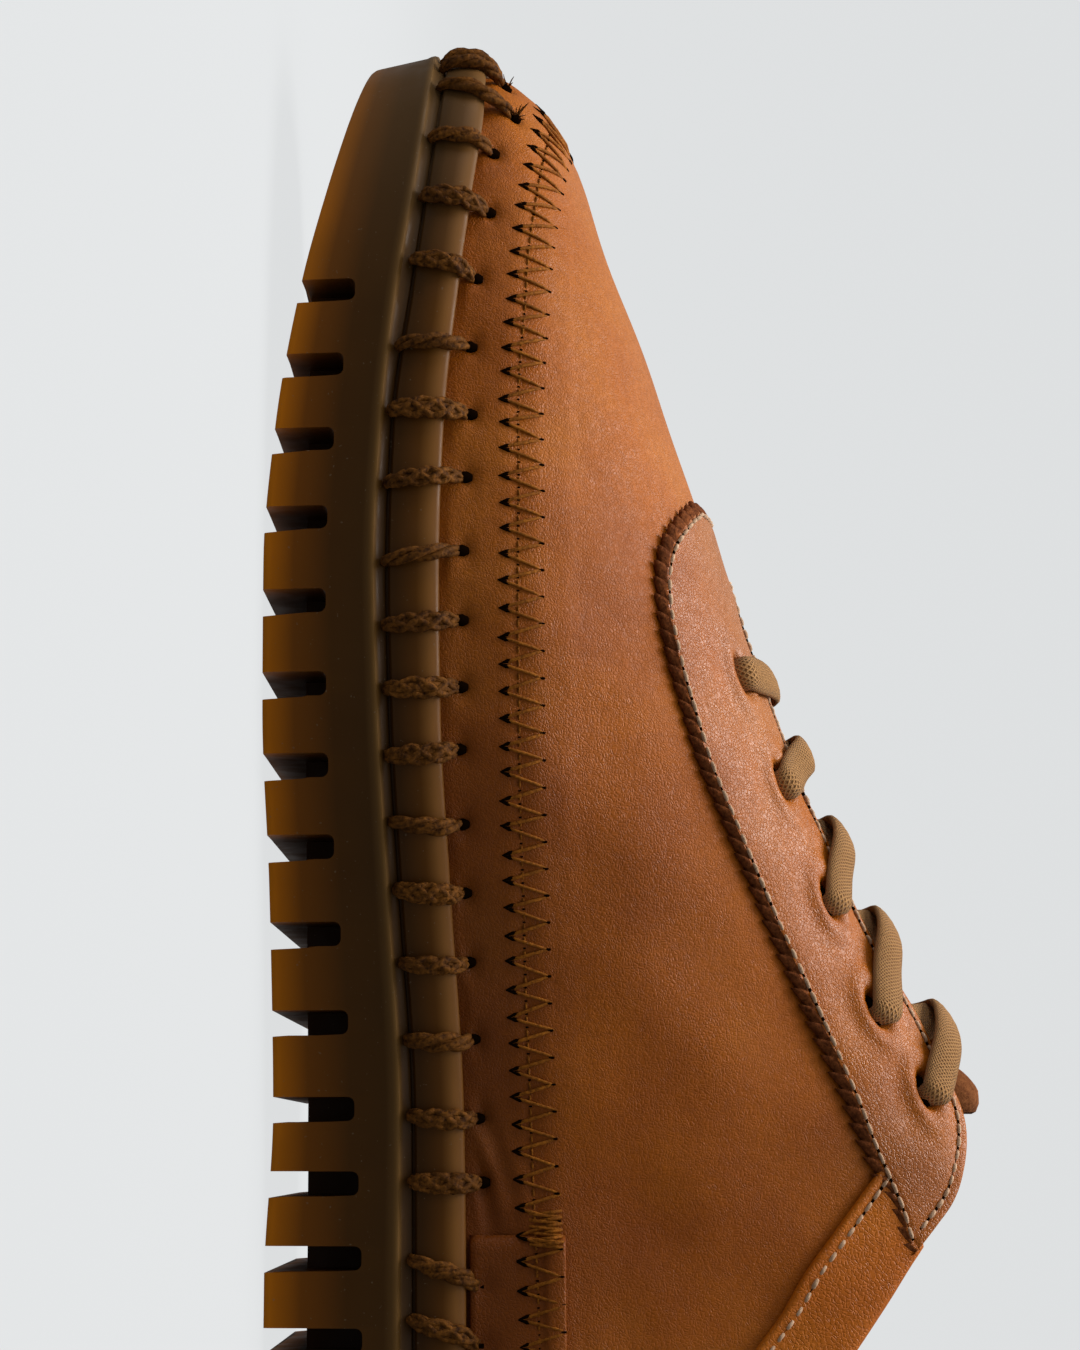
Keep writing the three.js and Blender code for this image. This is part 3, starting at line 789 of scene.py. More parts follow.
openings = {
    "collar": [(197.7, 115.8), (202.5, 111.2), (207.2, 106.9), (216.5, 100.2), (224, 94.7), (234, 87),
               (246, 80), (258, 77), (270, 77.5), (282, 82), (292, 88), (306, 91)],
    "throat": [(96.5, 2.5), (98, 4.2), (101, 5), (112, 6), (130, 7.5), (150, 8.5), (168, 9.5),
               (184.6, 10.5), (191, 12.6), (197.7, 15.8), (206, 20)],
    "throatEnd": 206,
}
collarAt = curveThrough(openings["collar"])
throatAt = curveThrough(openings["throat"], True)
seam = {
    "line": [(0, 47.6), (10, 47.3), (18.7, 46.6), (27, 45.4), (33.7, 44.4), (43, 43.3), (52.4, 42.7),
             (62.8, 41.9), (87.2, 41.7), (104.1, 41.6), (120.2, 41.8), (134.8, 41.9), (151.4, 42.5),
             (166.6, 42.9), (183.2, 43.6), (199.5, 44.2), (215.1, 44.9), (240, 45.6), (270, 46.2),
             (300, 47.2)],
    "half": 3.65,
    "pitch": 4.4,
    "thread": 0.30,
}
seamAt = curveThrough(seam["line"])


def isOpen(point):
    station, side, height = point[..., 0], point[..., 1], point[..., 2]
    throat = (station > openings["throat"][0][0]) & (station < openings["throatEnd"])
    throat &= np.abs(side - footRidgeAt(station)) < throatAt(station)
    collar = (station > openings["collar"][0][0]) & (height > collarAt(station))
    return throat | collar


def edgeRise(turn):
    # how high the upper runs at each turn before it reaches the throat or the collar
    steps = np.linspace(0, 1, 161)
    hit = isOpen(skin(turn[:, None], steps[None, :]))
    first = np.where(hit.any(1), hit.argmax(1), len(steps) - 1)
    low, high = steps[np.maximum(first - 1, 0)], steps[first]
    low, high = halve(low, high, lambda rise: ~isOpen(skin(turn, rise)), 14)
    return np.where(hit.any(1), low, 1.0)


# whip stitches over the rim: turn at the groove, turn at the hole, height of the hole over the rim
whip = {
    "seen": [(0.0990, 0.0960, 3.8), (0.1280, 0.1430, 5.5), (0.1800, 0.1830, 2.9), (0.2210, 0.2250, 3.7),
             (0.2570, 0.2630, 3.2), (0.3000, 0.2970, 3.6), (0.3280, 0.3270, 4.6), (0.3580, 0.3530, 4.3),
             (0.3880, 0.3820, 4.1), (0.4110, 0.4080, 4.0), (0.4330, 0.4320, 3.8), (0.4560, 0.4540, 3.3),
             (0.4780, 0.4800, 3.1), (0.5000, 0.5030, 2.8), (0.5250, 0.5260, 2.7), (0.5510, 0.5520, 2.6),
             (0.5770, 0.5790, 2.8), (0.6000, 0.6010, 3.4), (0.6270, 0.6380, 3.0), (0.6490, 0.6600, 3.0)],
    "pitch": 11,
    "width": 1.75,
    "thick": 1.0,
    "yarn": 0.62,
    "ply": 0.72,
    "short": 1.4,           # the yarn goes in this far before the middle of its hole
    "twisted": [0, 1, 2, 5, 8, 12, 15, 18],
    "frayed": [4, 12],
}


def whipPlaces():
    # the stitches past the seen ones follow at the same pitch round the heel and the outer side
    rng = random.Random(7)
    places = list(whip["seen"])
    turns = np.linspace(0, 2, 4001)
    far = farAlong(outline(turns))
    start = np.interp(places[-1][0], turns, far) + whip["pitch"]
    finish = far[-1] + np.interp(places[0][0], turns, far) - whip["pitch"] * 0.6
    count = int(round((finish - start) / whip["pitch"]))
    for spot in np.linspace(start, finish, count):
        turn = float(np.interp(spot % far[-1], far, turns))
        places.append((turn, turn + rng.uniform(-0.003, 0.004), rng.uniform(2.8, 3.8)))
    return places


def whipMouthSpots():
    turn, over = np.array(whipSpots)[:, 1:].T
    rim = heightOf["rimTop"](outline(turn)[:, 0])
    return skin(turn, riseAtLine(turn, lambda s: rim + over))


whipSpots = whipPlaces()
whipHoles = whipMouthSpots()

# creases: from and to as station and height, side, depth and half width; minus is a ridge
creases = [
    ((183, 34.5), (199, 40.5), -1, 0.45, 1.3), ((187, 34.2), (203, 39.2), -1, -0.42, 1.5),
    ((192, 34.0), (205, 36.9), -1, 0.5, 1.2), ((198, 33.8), (206, 35.2), -1, -0.3, 1.3),
    ((190, 38.8), (203, 43.0), -1, -0.3, 1.6), ((205, 35), (206, 46), -1, 0.5, 0.9),
    ((111.5, 46.5), (114, 66), -1, 0.16, 1.0), ((118, 47), (122, 60), -1, 0.12, 2.2),
    ((88, 56), (101, 72), -1, 0.14, 2.4), ((93, 50), (104, 62), -1, -0.12, 3.0),
    ((60, 52), (72, 62), -1, 0.10, 3.0), ((150, 58), (178, 66), -1, -0.22, 6.0),
    ((158, 72), (186, 84), -1, 0.25, 5.5), ((196, 60), (222, 72), -1, 0.3, 5.0),
    ((212, 50), (236, 60), -1, -0.25, 4.5), ((226, 64), (250, 70), -1, 0.2, 3.5),
    ((86, 52), (104, 70), 1, 0.3, 1.8), ((94, 50), (110, 66), 1, -0.2, 2.2),
    ((112, 48), (118, 66), 1, 0.22, 1.6), ((150, 60), (182, 72), 1, 0.25, 5.5),
    ((188, 58), (220, 70), 1, -0.22, 5.0), ((226, 60), (252, 68), 1, 0.25, 4.0),
    ((196, 36), (206, 42), 1, 0.4, 1.4), ((190, 36), (203, 44), 1, -0.35, 1.6),
    ((276, 56), (300, 60), 0, 0.2, 4.0), ((268, 66), (298, 72), 0, -0.2, 3.5),
]


def leatherRelief(point, side):
    # how far the leather lies out from or below its smooth form, in millimetres
    station, height = point[..., 0], point[..., 2]
    # a crease of one side runs out softly towards the ridge of the foot
    side = side * smooth(np.abs(point[..., 1] - footRidgeAt(station)) / 14)
    relief = 0.16 * np.sin(station / 9.1 + height / 7.7) * np.sin(height / 6.3 - station / 23 + 1)
    relief += 0.10 * np.sin(station / 3.7 - height / 5.1)
    fromSeam = height - seamAt(station)
    relief -= 0.10 * np.exp(-((fromSeam + 0.7) / 0.6) ** 2)
    relief += 0.10 * np.exp(-((np.abs(fromSeam) - 2.3) / 1.6) ** 2)
    wave = np.cos(2 * np.pi * station / seam["pitch"])
    relief -= 0.13 * wave * np.exp(-((fromSeam + seam["half"]) / 1.1) ** 2)
    relief += 0.13 * wave * np.exp(-((fromSeam - seam["half"]) / 1.1) ** 2)
    for (s0, z0), (s1, z1), where, depth, half in creases:
        along = np.array([s1 - s0, z1 - z0], float)
        reach = np.clip(((station - s0) * along[0] + (height - z0) * along[1]) / (along @ along), 0, 1)
        away = np.hypot(station - s0 - reach * along[0], height - z0 - reach * along[1])
        ends = np.sqrt(np.clip(4 * reach * (1 - reach), 0, 1)) * 0.8 + 0.2
        bend = depth * ends * np.exp(-(away / half) ** 2)
        relief -= bend if where == 0 else bend * np.clip(side * where, 0, 1)
    nearRim = (height < 50) & (height > 26)
    if nearRim.any():
        spots = point[nearRim]
        far = np.linalg.norm(spots[:, None, :] - whipHoles[None, :, :], axis=2)
        pull = -0.95 * np.exp(-(far / 1.3) ** 2) - 0.30 * np.exp(-(far / 3.4) ** 2)
        relief[nearRim] += pull.min(1) + 0.12
    return relief


upperSizes = {"columns": 560, "legs": 5, "low": 13, "seamRows": 16, "high": 46, "edge": 5, "inside": 22}


def makeUpper():
    sizes = upperSizes
    turns = np.linspace(0, 2, sizes["columns"] + 1)
    turns[-1] = 0
    top = edgeRise(turns)
    reach = seam["half"] + 1
    under = riseAtLine(turns, lambda s: seamAt(s) - reach)
    over = riseAtLine(turns, lambda s: seamAt(s) + reach)
    print("upper edges found")
    # each row from the floor up and back: its rise in the columns, and its offset
    steps = []
    for count, start, end in ((sizes["legs"], -1 + 0 * turns, 0 * turns), (sizes["low"], 0 * turns, under),
                              (sizes["seamRows"], under, over), (sizes["high"], over, top)):
        ends = 1 if end is top else 0
        steps += [(start + (end - start) * k / count, 0.0) for k in range(count + ends)]
    wall = shoe["wall"]
    for k in range(1, sizes["edge"]):
        bend = np.pi * k / sizes["edge"]
        steps.append((top, -wall / 2 + wall / 2 * math.cos(bend)))
    for k in range(sizes["inside"] + 1):
        steps.append((top - (top + 1) * k / sizes["inside"], -wall))
    steps.append(steps[0])
    rows = len(steps) - 1
    outside = sizes["legs"] + sizes["low"] + sizes["seamRows"] + sizes["high"]
    shut = top > 0.999
    shut = shut[:-1] & shut[1:]     # columns where the two sides meet at the ridge and have no edge

    def place(across, along):
        column = np.rint(across * sizes["columns"]).astype(int)
        row = np.rint(along * rows).astype(int)
        rise = np.array([s[0] for s in steps])[row, column]
        offset = np.array([s[1] for s in steps])[row]
        turn = turns[column]
        base = skin(turn, rise)
        side = np.where(turn <= 1, -1.0, 1.0)
        fade = smooth(rise / 0.02) * (row <= outside)
        return skin(turn, rise, offset + leatherRelief(base, side) * fade)

    return gridSheet("leatherUpper", sizes["columns"], rows, place,
                     surfaces=lambda v: 0 if v * rows < outside + 2 else 1,
                     leftOut=lambda u, v: shut[int(u * sizes["columns"])]
                     and outside <= int(v * rows) < outside + sizes["edge"])


finishPiece(makeUpper(), "tan_leather", [tanLeather, liningLeather], "upper")


# insole: a shallow dished footbed

footbed = {"thick": 4.0, "dish": 0.7, "dishFrom": 14.0, "middleIn": 26, "columns": 200}


def makeInsole():
    inset = cupInside + shoe["gap"] * 2 + shoe["wall"]
    profile = [(None, 0.0), (6, 0.0), (0.0, 0.0), (0.0, 0.4), (0.0, 0.75), (0.25, 0.92), (0.9, 1.0),
               (2.2, 1.0), (4, 1.0), (7, 1.0), (11, 1.0), (16, 1.0), (None, 1.0)]

    def spotsAt(across, inward, level):
        onMiddle = inward is None
        plan = planAt(across * 2, None if onMiddle else inset + inward, footbed["middleIn"])
        hollow = 1.0 if onMiddle else smooth(inward / footbed["dishFrom"])
        height = floorAt(plan[:, 0]) + shoe["gap"] + footbed["thick"] * level
        height -= footbed["dish"] * level * hollow
        return np.concatenate([plan, height[:, None]], -1)

    return profileSheet("footbed", footbed["columns"], profile, spotsAt)


finishPiece(makeInsole(), "footbed_leather", [footbedLeather], "insole")


# tongue: a soft split-leather flap with its raw top edge standing a little proud

tongueSizes = {
    "plan": [(86, 13), (90, 17), (120, 20), (160, 24), (181, 24), (184.5, 20)],
    "top": -2.55,
    "thick": 2.7,
    "from": 87,
    "to": 184.2,
    "columns": 110,
    "rows": 56,
    "narrow": (179, 9, 0.55),       # where it grows narrower, over what length and by what share
    "tip": (170, 12, 3.5),          # where the middle of its end rises, over what length and how far
    "tipHalf": 6.5,
    "tipSoft": 2.4,
    "lip": (171, 8, 1.3),
    "lipEnd": (181, 3),
}
tongueAt = curveThrough(tongueSizes["plan"], True)


def makeTongue():
    sizes = tongueSizes
    half = sizes["rows"] // 2

    def place(across, along):
        station = sizes["from"] + (sizes["to"] - sizes["from"]) * across
        row = np.rint(along * (2 * half)).astype(int)
        below = row > half
        part = np.where(below, 2 - row / half, row / half)
        width = tongueAt(station) * np.sqrt(np.clip(1 - grown(station, *sizes["narrow"]), 0, 1))
        side = -width * np.cos(np.pi * np.clip(part, 0, 1))
        crown = np.sin(np.pi * np.clip(part, 0, 1)) ** 0.35
        ends = np.sqrt(np.clip((sizes["to"] - station) / 0.9, 0, 1))
        beside = smooth((np.abs(side) - sizes["tipHalf"]) / sizes["tipSoft"])
        rise = grown(station, *sizes["tip"]) * (1 - beside)
        rise += grown(station, *sizes["lip"]) * (1 - grown(station, *sizes["lipEnd"]))
        level = sizes["top"] - sizes["thick"] / 2 + rise * 0.9
        level += (sizes["thick"] / 2) * crown * np.where(below, -1, 1) * (0.3 + 0.7 * ends)
        level += 0.10 * np.sin(station / 5.3 + side / 3.1) * ~below
        return chartSkin(*ridgeChart(station, side), level)

    return gridSheet("tongueLeather", sizes["columns"], 2 * half, place)


finishPiece(makeTongue(), "tongue_leather", [suede], "tongue")
print("tongue and footbed made")

# lace facing: one U-shaped strap of thick leather with a pinked outer edge

facing = {
    "edge": [(80.2, 75), (80.7, 72.9), (82.6, 70.6), (85.6, 68.4), (90, 65.9), (94.7, 64.6), (100, 64.5),
             (110.4, 66.2), (118.4, 68.4), (128.2, 71.4), (136.4, 74.9), (148.1, 79.9), (163.1, 86.4),
             (176.5, 92.2), (183.1, 95.1), (189.7, 97.6), (199.4, 101.9), (208.6, 105.2), (212, 108)],
    "front": 81.4,
    "back": 209.2,
    "topline": 208.4,
    "under": 0.3,
    "face": 1.75,
    "tooth": 1.45,
    "rawWidth": 1.75,       # the cut edge slopes, so this much of it shows
    "toothPitch": 3.0,
    "toothSteps": [0, 0.2, 0.4, 0.6, 0.78, 0.9],
    "rows": 34,
    "stitchIn": 2.3,
    "eyelets": [(111.8, 78.4), (129.8, 85.1), (149.6, 93), (168, 100.8), (181.4, 109.2)],
    "holeHalf": (3.1, 1.6),
}
facingAt = curveThrough(facing["edge"])


def bothSides(makeSide):
    # joins a side's path, running from the front to the back, with its mirror on the other side
    inner, outer = makeSide(False), makeSide(True)
    return np.concatenate([inner[:, ::-1], outer[:, 1:]], 1)


def facingOuterSide(outer):
    station = facing["front"] + (facing["back"] - facing["front"]) * np.linspace(0, 1, 150) ** 1.8
    along, fold = findOnUpper(station, facingAt(station), outer, "height")
    fold[0] = 0
    return np.array([along, fold])


def facingInnerSide(outer):
    nose = [(95.9, 0.0), (95.93, 1.0), (96.1, 1.9), (96.5, 2.7)]
    station = np.concatenate([[s for s, side in nose], np.arange(97.3, 197.3, 1.2)])
    side = np.concatenate([[side for s, side in nose], throatAt(np.arange(97.3, 197.3, 1.2))])
    throat = findOnUpper(station, side, outer, "side")
    rear = np.linspace(198.2, facing["topline"], 10)
    top = findOnUpper(rear, collarAt(rear), outer, "height")
    path = np.array([np.concatenate([throat[0], top[0]]), np.concatenate([throat[1], top[1]])])
    path[1, 0] = 0
    for step in range(10):      # rounds the corner between the throat and the topline
        path[:, 5:-1] = (path[:, 4:-2] + 2 * path[:, 5:-1] + path[:, 6:]) / 4
    return path


outerPath, innerPath = bothSides(facingOuterSide), bothSides(facingInnerSide)
outerLine = chartSkin(outerPath[0], outerPath[1], 1.0)
innerLine = chartSkin(innerPath[0], innerPath[1], 1.0)
teethASide = int(round(evenly(outerLine, 10)[1] / 2 / facing["toothPitch"]))
stepsOut = [(i + part) / teethASide for i in range(teethASide) for part in facing["toothSteps"]] + [1.0]
acrossU = np.array([-s for s in stepsOut[:0:-1]] + stepsOut) / 2 + 0.5
toothDepth = np.array([0.45 - s for s in facing["toothSteps"]] * teethASide + [0.45]) * facing["tooth"]
toothShift = np.concatenate([toothDepth[:0:-1], toothDepth])


def alongPath(path, line, part):
    even = np.interp(np.asarray(part) * 2000, np.arange(2001), evenly(line, 2001)[0])
    return rowsAt(path, even)


def facingChart(u, inFromOuter=None, inFromInner=None):
    # chart coordinates at a distance in from the outer or the inner edge
    outer, inner = alongPath(outerPath, outerLine, u), alongPath(innerPath, innerLine, u)
    width = np.linalg.norm(chartSkin(*outer, 1.0) - chartSkin(*inner, 1.0), axis=-1)
    part = 1 - inFromOuter / width if inFromInner is None else inFromInner / width
    return inner + (outer - inner) * part


def eyeletFrames():
    holes = []
    for station, height in facing["eyelets"]:
        for outer in (False, True):
            spots = np.array([station - 1.5, station, station + 1.5])
            along, fold = findOnUpper(np.array([station]), np.array([height]), outer, "height")
            centre = chartSkin(along, fold, facing["face"])[0]
            side = abs(centre[1] - float(footRidgeAt(station)))
            sides = side + throatAt(spots) - throatAt(np.array(station))
            run = chartSkin(*findOnUpper(spots, sides, outer, "side"), facing["face"])
            out = chartSkin(along, fold, facing["face"] + 1)[0] - centre
            holes.append((centre, unit(run[2] - run[0]), out, side * (1 if outer else -1), station))
    return holes


eyelets = eyeletFrames()


def facingRelief(point, inFromOuter, inFromInner):
    relief = 0.10 * np.sin(point[..., 0] / 6.1 + point[..., 2] / 4.3)
    relief += 0.07 * np.sin(point[..., 0] / 2.3 - point[..., 1] / 3.1)
    for inward in (inFromOuter, inFromInner):
        relief -= 0.22 * np.exp(-((inward - facing["stitchIn"]) / 0.7) ** 2)
    halfLong, halfWide = facing["holeHalf"]
    for centre, way, out, side, station in eyelets:
        away = point - centre
        long = away @ way
        wide = np.linalg.norm(away - long[..., None] * way, axis=-1)
        ring = np.hypot(long / halfLong, wide / halfWide)
        relief -= 2.3 * smooth((1.35 - ring) / 0.8)
        relief += 0.50 * np.exp(-((ring - 2.0) / 0.75) ** 2)
        relief -= 0.25 * np.exp(-(long / 6.0) ** 2 - ((wide - 6.0) / 2.2) ** 2)
    return relief


def makeFacing():
    under, face, rows = facing["under"], facing["face"], facing["rows"]
    profile = [("mid", 0, under, 1), ("in", 0.5, under, 1), ("in", 0.0, under + 0.12, 1),
               ("in", -0.06, under + 0.6, 1), ("in", 0.02, face - 0.35, 1), ("in", 0.2, face - 0.08, 0)]
    profile += [("top", k / rows, face, 0) for k in range(1, rows)]
    raw = facing["rawWidth"]
    profile += [("out", -raw, face + 0.02, 0), ("out", 0.12 - raw, face - 0.06, 1),
                ("out", -raw * 0.55, face - 0.32, 1), ("out", -0.3, face - 0.62, 1),
                ("out", 0.0, face - 0.85, 1), ("out", 0.08, under + 0.3, 1), ("out", 0.03, under, 1)]
    profile.append(profile[0])
    last, columns = len(profile) - 1, len(acrossU) - 1
    outer, inner = alongPath(outerPath, outerLine, acrossU), alongPath(innerPath, innerLine, acrossU)
    width = np.linalg.norm(chartSkin(*outer, 1.0) - chartSkin(*inner, 1.0), axis=-1)
    ends = firmInside(columns)

    def spotsAt(across, where, shift, offset, kind):
        c = np.rint(across * columns).astype(int)
        if where == "mid":
            part = 0.5 + 0 * width[c]
        elif where == "in":
            part = shift / width[c]
        elif where == "top":
            part = shift * (width[c] - raw - 0.6) / width[c]
        else:
            scallop = 0.35 if shift < -1.5 else 1.0
            part = 1 + (shift + toothShift[c] * scallop) / width[c]
        chart = inner[:, c] + (outer[:, c] - inner[:, c]) * part
        level = under + (offset - under) * ends[c]
        if kind == 0:
            base = chartSkin(*chart, face)
            level = level + facingRelief(base, (1 - part) * width[c], part * width[c]) * ends[c]
            level = np.maximum(level, under + 0.02)
        return chartSkin(*chart, level)

    kinds = [row[3] for row in profile]
    return profileSheet("laceFacing", columns, profile, spotsAt,
                        surfaces=lambda v: max(kinds[int(v * last)], kinds[min(int(v * last) + 1, last)]))


finishPiece(makeFacing(), "facing_leather", [facingLeather, rawEdge], "eyestay")


# collar band: folded over the topline, tucked under the facing at its ends

band = {
    "line": [(193, 102), (199.4, 97), (205.7, 92.1), (210.4, 88.4), (218.1, 83.6), (224, 79), (234, 72),
             (246, 66), (258, 63), (270, 63), (282, 66), (292, 70), (306, 73)],
    "from": 193.4,
    "outside": 1.35,
    "under": 0.15,
    "inside": -3.3,
    "columns": 260,
    "depth": 13,
    "roll": 2.2,
    "stitchIn": 2.4,
    "tuckIn": 3.2,
    "tuckBefore": 211,
}
bandAt = curveThrough(band["line"])


def bandTop(station):
    tucked = facingAt(station) + band["tuckIn"]
    return np.where(station < band["tuckBefore"], np.minimum(collarAt(station), tucked), collarAt(station))


def bandTurns(count):
    start = float(turnAt(band["from"]))
    return np.linspace(start, 2 - start, count)


def bandWrinkle(point):
    station, height = point[..., 0], point[..., 2]
    near = np.exp(-((station - 213) / 11) ** 2)
    waves = np.sin(station * 1.9 + height * 1.1 + 1.6 * np.sin(height / 2.3))
    relief = 0.09 * near * waves + 0.10 * np.sin(station / 5.2) * np.sin(height / 4.1)
    return relief


def makeBand():
    turns = bandTurns(band["columns"] + 1)
    low = riseAtLine(turns, bandAt, 1.0)
    high = riseAtLine(turns, bandTop, 0.5)
    topStation = skin(turns, high)[:, 0]
    wraps = smooth((topStation - 200) / 9)
    span = np.linalg.norm(skin(turns, high) - skin(turns, low), axis=-1)
    upward = unit(skin(turns, np.minimum(high, 0.999)) - skin(turns, np.minimum(high, 0.999) - 0.03))
    out, under, inside = band["outside"], band["under"], band["inside"]
    profile = [("side", 0.6, under), ("side", 0.15, under + 0.05), ("side", -0.12, under + 0.45),
               ("side", -0.10, out - 0.35), ("side", 0.15, out + 0.05), ("side", 0.6, out + 0.22),
               ("side", 1.2, out + 0.2)]
    profile += [("run", k / 9, out) for k in range(1, 9)]
    profile += [("roll", math.pi * k / 8, 0) for k in range(0, 9)]
    profile += [("lining", k / 4, inside) for k in range(1, 5)]
    profile += [("lining", 1.0, inside + 0.7), ("lining", 0.3, inside + 1.0)]
    profile.append(profile[0])
    ends = firmInside(band["columns"])

    def spotsAt(across, where, value, offset):
        c = np.rint(across * band["columns"]).astype(int)
        turn, bottom, top, wrap = turns[c], low[c], high[c], wraps[c]
        perMm = (top - bottom) / span[c]
        level = offset
        if where == "side":
            rise = bottom + value * perMm
        elif where == "run":
            rise = bottom + 1.6 * perMm + (top - bottom - 1.6 * perMm) * value
        elif where == "roll":
            middle = (out + inside) / 2
            rise, level = top, middle + (out - middle) * math.cos(value)
        else:
            tucked = np.clip(span[c] - 0.9, 0.1, band["depth"])
            reach = tucked + (band["depth"] - tucked) * wrap
            rise = np.maximum(top - value * reach * perMm, 0)
        level = np.where(level < under, under + (level - under) * wrap, level)
        level = under + (level - under) * ends[c] if where != "lining" else level
        if where in ("side", "run") and offset > under + 0.3:
            inward = (rise - bottom) / perMm
            level = level + bandWrinkle(skin(turn, rise))
            level = level - 0.25 * np.exp(-((inward - band["stitchIn"]) / 0.7) ** 2)
        spots = skin(turn, rise, level)
        if where == "roll":
            spots = spots + upward[c] * (math.sin(value) * band["roll"] * 0.75 * wrap)[:, None]
        return spots

    return profileSheet("collarBand", band["columns"], profile, spotsAt)


finishPiece(makeBand(), "tan_leather", [bandLeather], "collar_band")


# lower heel piece with a raised strap along its top

counter = {
    "line": [(205, 48.6), (225, 48.8), (250, 50), (306, 53)],
    "from": 205,
    "face": 1.15,
    "strap": 1.9,
    "strapWide": 2.9,
    "under": 0.25,
    "columns": 240,
}
counterAt = curveThrough(counter["line"], True)


def counterShape(down):
    # how far the heel piece stands out at a distance down from its top edge
    strap = smooth((counter["strapWide"] + 0.45 - down) / 0.7)
    half = counter["strapWide"] / 2
    bulge = np.sqrt(np.clip(1 - ((down - half) / (half + 0.4)) ** 2, 0, 1))
    return counter["face"] + (counter["strap"] - counter["face"]) * strap * (0.5 + 0.5 * bulge)


def makeCounter():
    start = float(turnAt(counter["from"]))
    turns = np.linspace(start, 2 - start, counter["columns"] + 1)
    low = riseAtLine(turns, lambda s: heightOf["rimTop"](s) + 0.45, 1.0)
    high = riseAtLine(turns, counterAt, 1.0)
    span = np.linalg.norm(skin(turns, high, 1.0) - skin(turns, low, 1.0), axis=-1)
    downs = [0.0, 0.15, 0.4, 0.8, 1.45, 2.1, 2.5, 2.85, 3.15, 3.5, 4.0]
    profile = [("down", 0.3, counter["under"]), ("down", 0.0, counter["under"] + 0.05),
               ("down", -0.05, 0.8), ("down", 0.0, 1.25)]
    profile += [("down", d, None) for d in downs[1:]]
    profile += [("rest", k / 10, None) for k in range(1, 10)]
    profile += [("base", 0.3, counter["face"] - 0.05), ("base", 0.05, counter["face"] - 0.3),
                ("base", 0.0, counter["under"] + 0.1), ("base", 0.3, counter["under"])]
    profile.append(profile[0])
    ends = firmInside(counter["columns"])

    def spotsAt(across, where, value, offset):
        c = np.rint(across * counter["columns"]).astype(int)
        perMm = (high[c] - low[c]) / span[c]
        if where == "down":
            down = value + 0 * perMm
        elif where == "rest":
            down = 4.0 + (span[c] - 4.3) * value
        else:
            down = span[c] - value
        level = counterShape(down) if offset is None else offset + 0 * down
        if offset is None:
            base = skin(turns[c], high[c] - down * perMm)
            level = level + 0.07 * np.sin(base[:, 0] / 1.1) * np.exp(-((down - 1.5) / 1.3) ** 2)
            level = level + 0.14 * np.sin(base[:, 0] / 6.0 + base[:, 2] / 3.0)
            far = np.linalg.norm(base[:, None, :] - whipHoles[None, :, :], axis=2).min(1)
            level = level - 0.8 * np.exp(-(far / 1.4) ** 2) - 0.2 * np.exp(-(far / 3.2) ** 2)
            level = np.maximum(level, counter["under"] + 0.1)
        level = counter["under"] + (level - counter["under"]) * ends[c]
        return skin(turns[c], high[c] - down * perMm, level)

    return profileSheet("heelPiece", counter["columns"], profile, spotsAt)


finishPiece(makeCounter(), "tan_leather", [heelLeather], "heel_counter")
print("overlays made")

# whip stitches: braided or twisted yarn from the ledge over the rim into the leather

def whipLines(low, high, over):
    # each bundle's middle line, with the directions across it and out of it
    # inset, share of the way to the hole, and level and rise as in the sole's section
    steps = [(2.9, 0, 2, -0.9), (1.1, 0.1, 2, -0.7), (0.05, 0.25, 2, 0.9), (-0.15, 0.42, 2.45, 0),
             (0.25, 0.6, 3, -1.3), (1.1, 0.74, 3, 0.1)]
    spots = []
    for inset, part, level, rise in steps:
        plan = outlineInset(low + (high - low) * part, inset)
        spots.append(np.concatenate([plan, soleLevel(plan[:, :1], level) + rise], 1))
    rim = heightOf["rimTop"](outline(high)[:, 0])
    reach = over - whip["short"]
    for goal, lift, part in ((0.45, 1.35, 0.86), (0.82, 1.0, 0.96), (1.0, 0.1, 1.0), (1.06, -1.5, 1.0)):
        turn = low + (high - low) * part
        rise = riseAtLine(turn, lambda s: rim + reach * goal)
        spots.append(skin(turn, rise, lift + 0 * turn))
    lines = []
    for k, spots in enumerate(np.stack(spots, 1)):
        line = softened(rowsAt(spots.T, evenly(spots, 17)[0]).T)
        ahead = unit(np.gradient(line, axis=0))
        across = unit(np.cross(ahead, np.append(outwardAt((low[k] + high[k]) / 2), 0.35)))
        lines.append((line, across, np.cross(across, ahead)))
    return lines


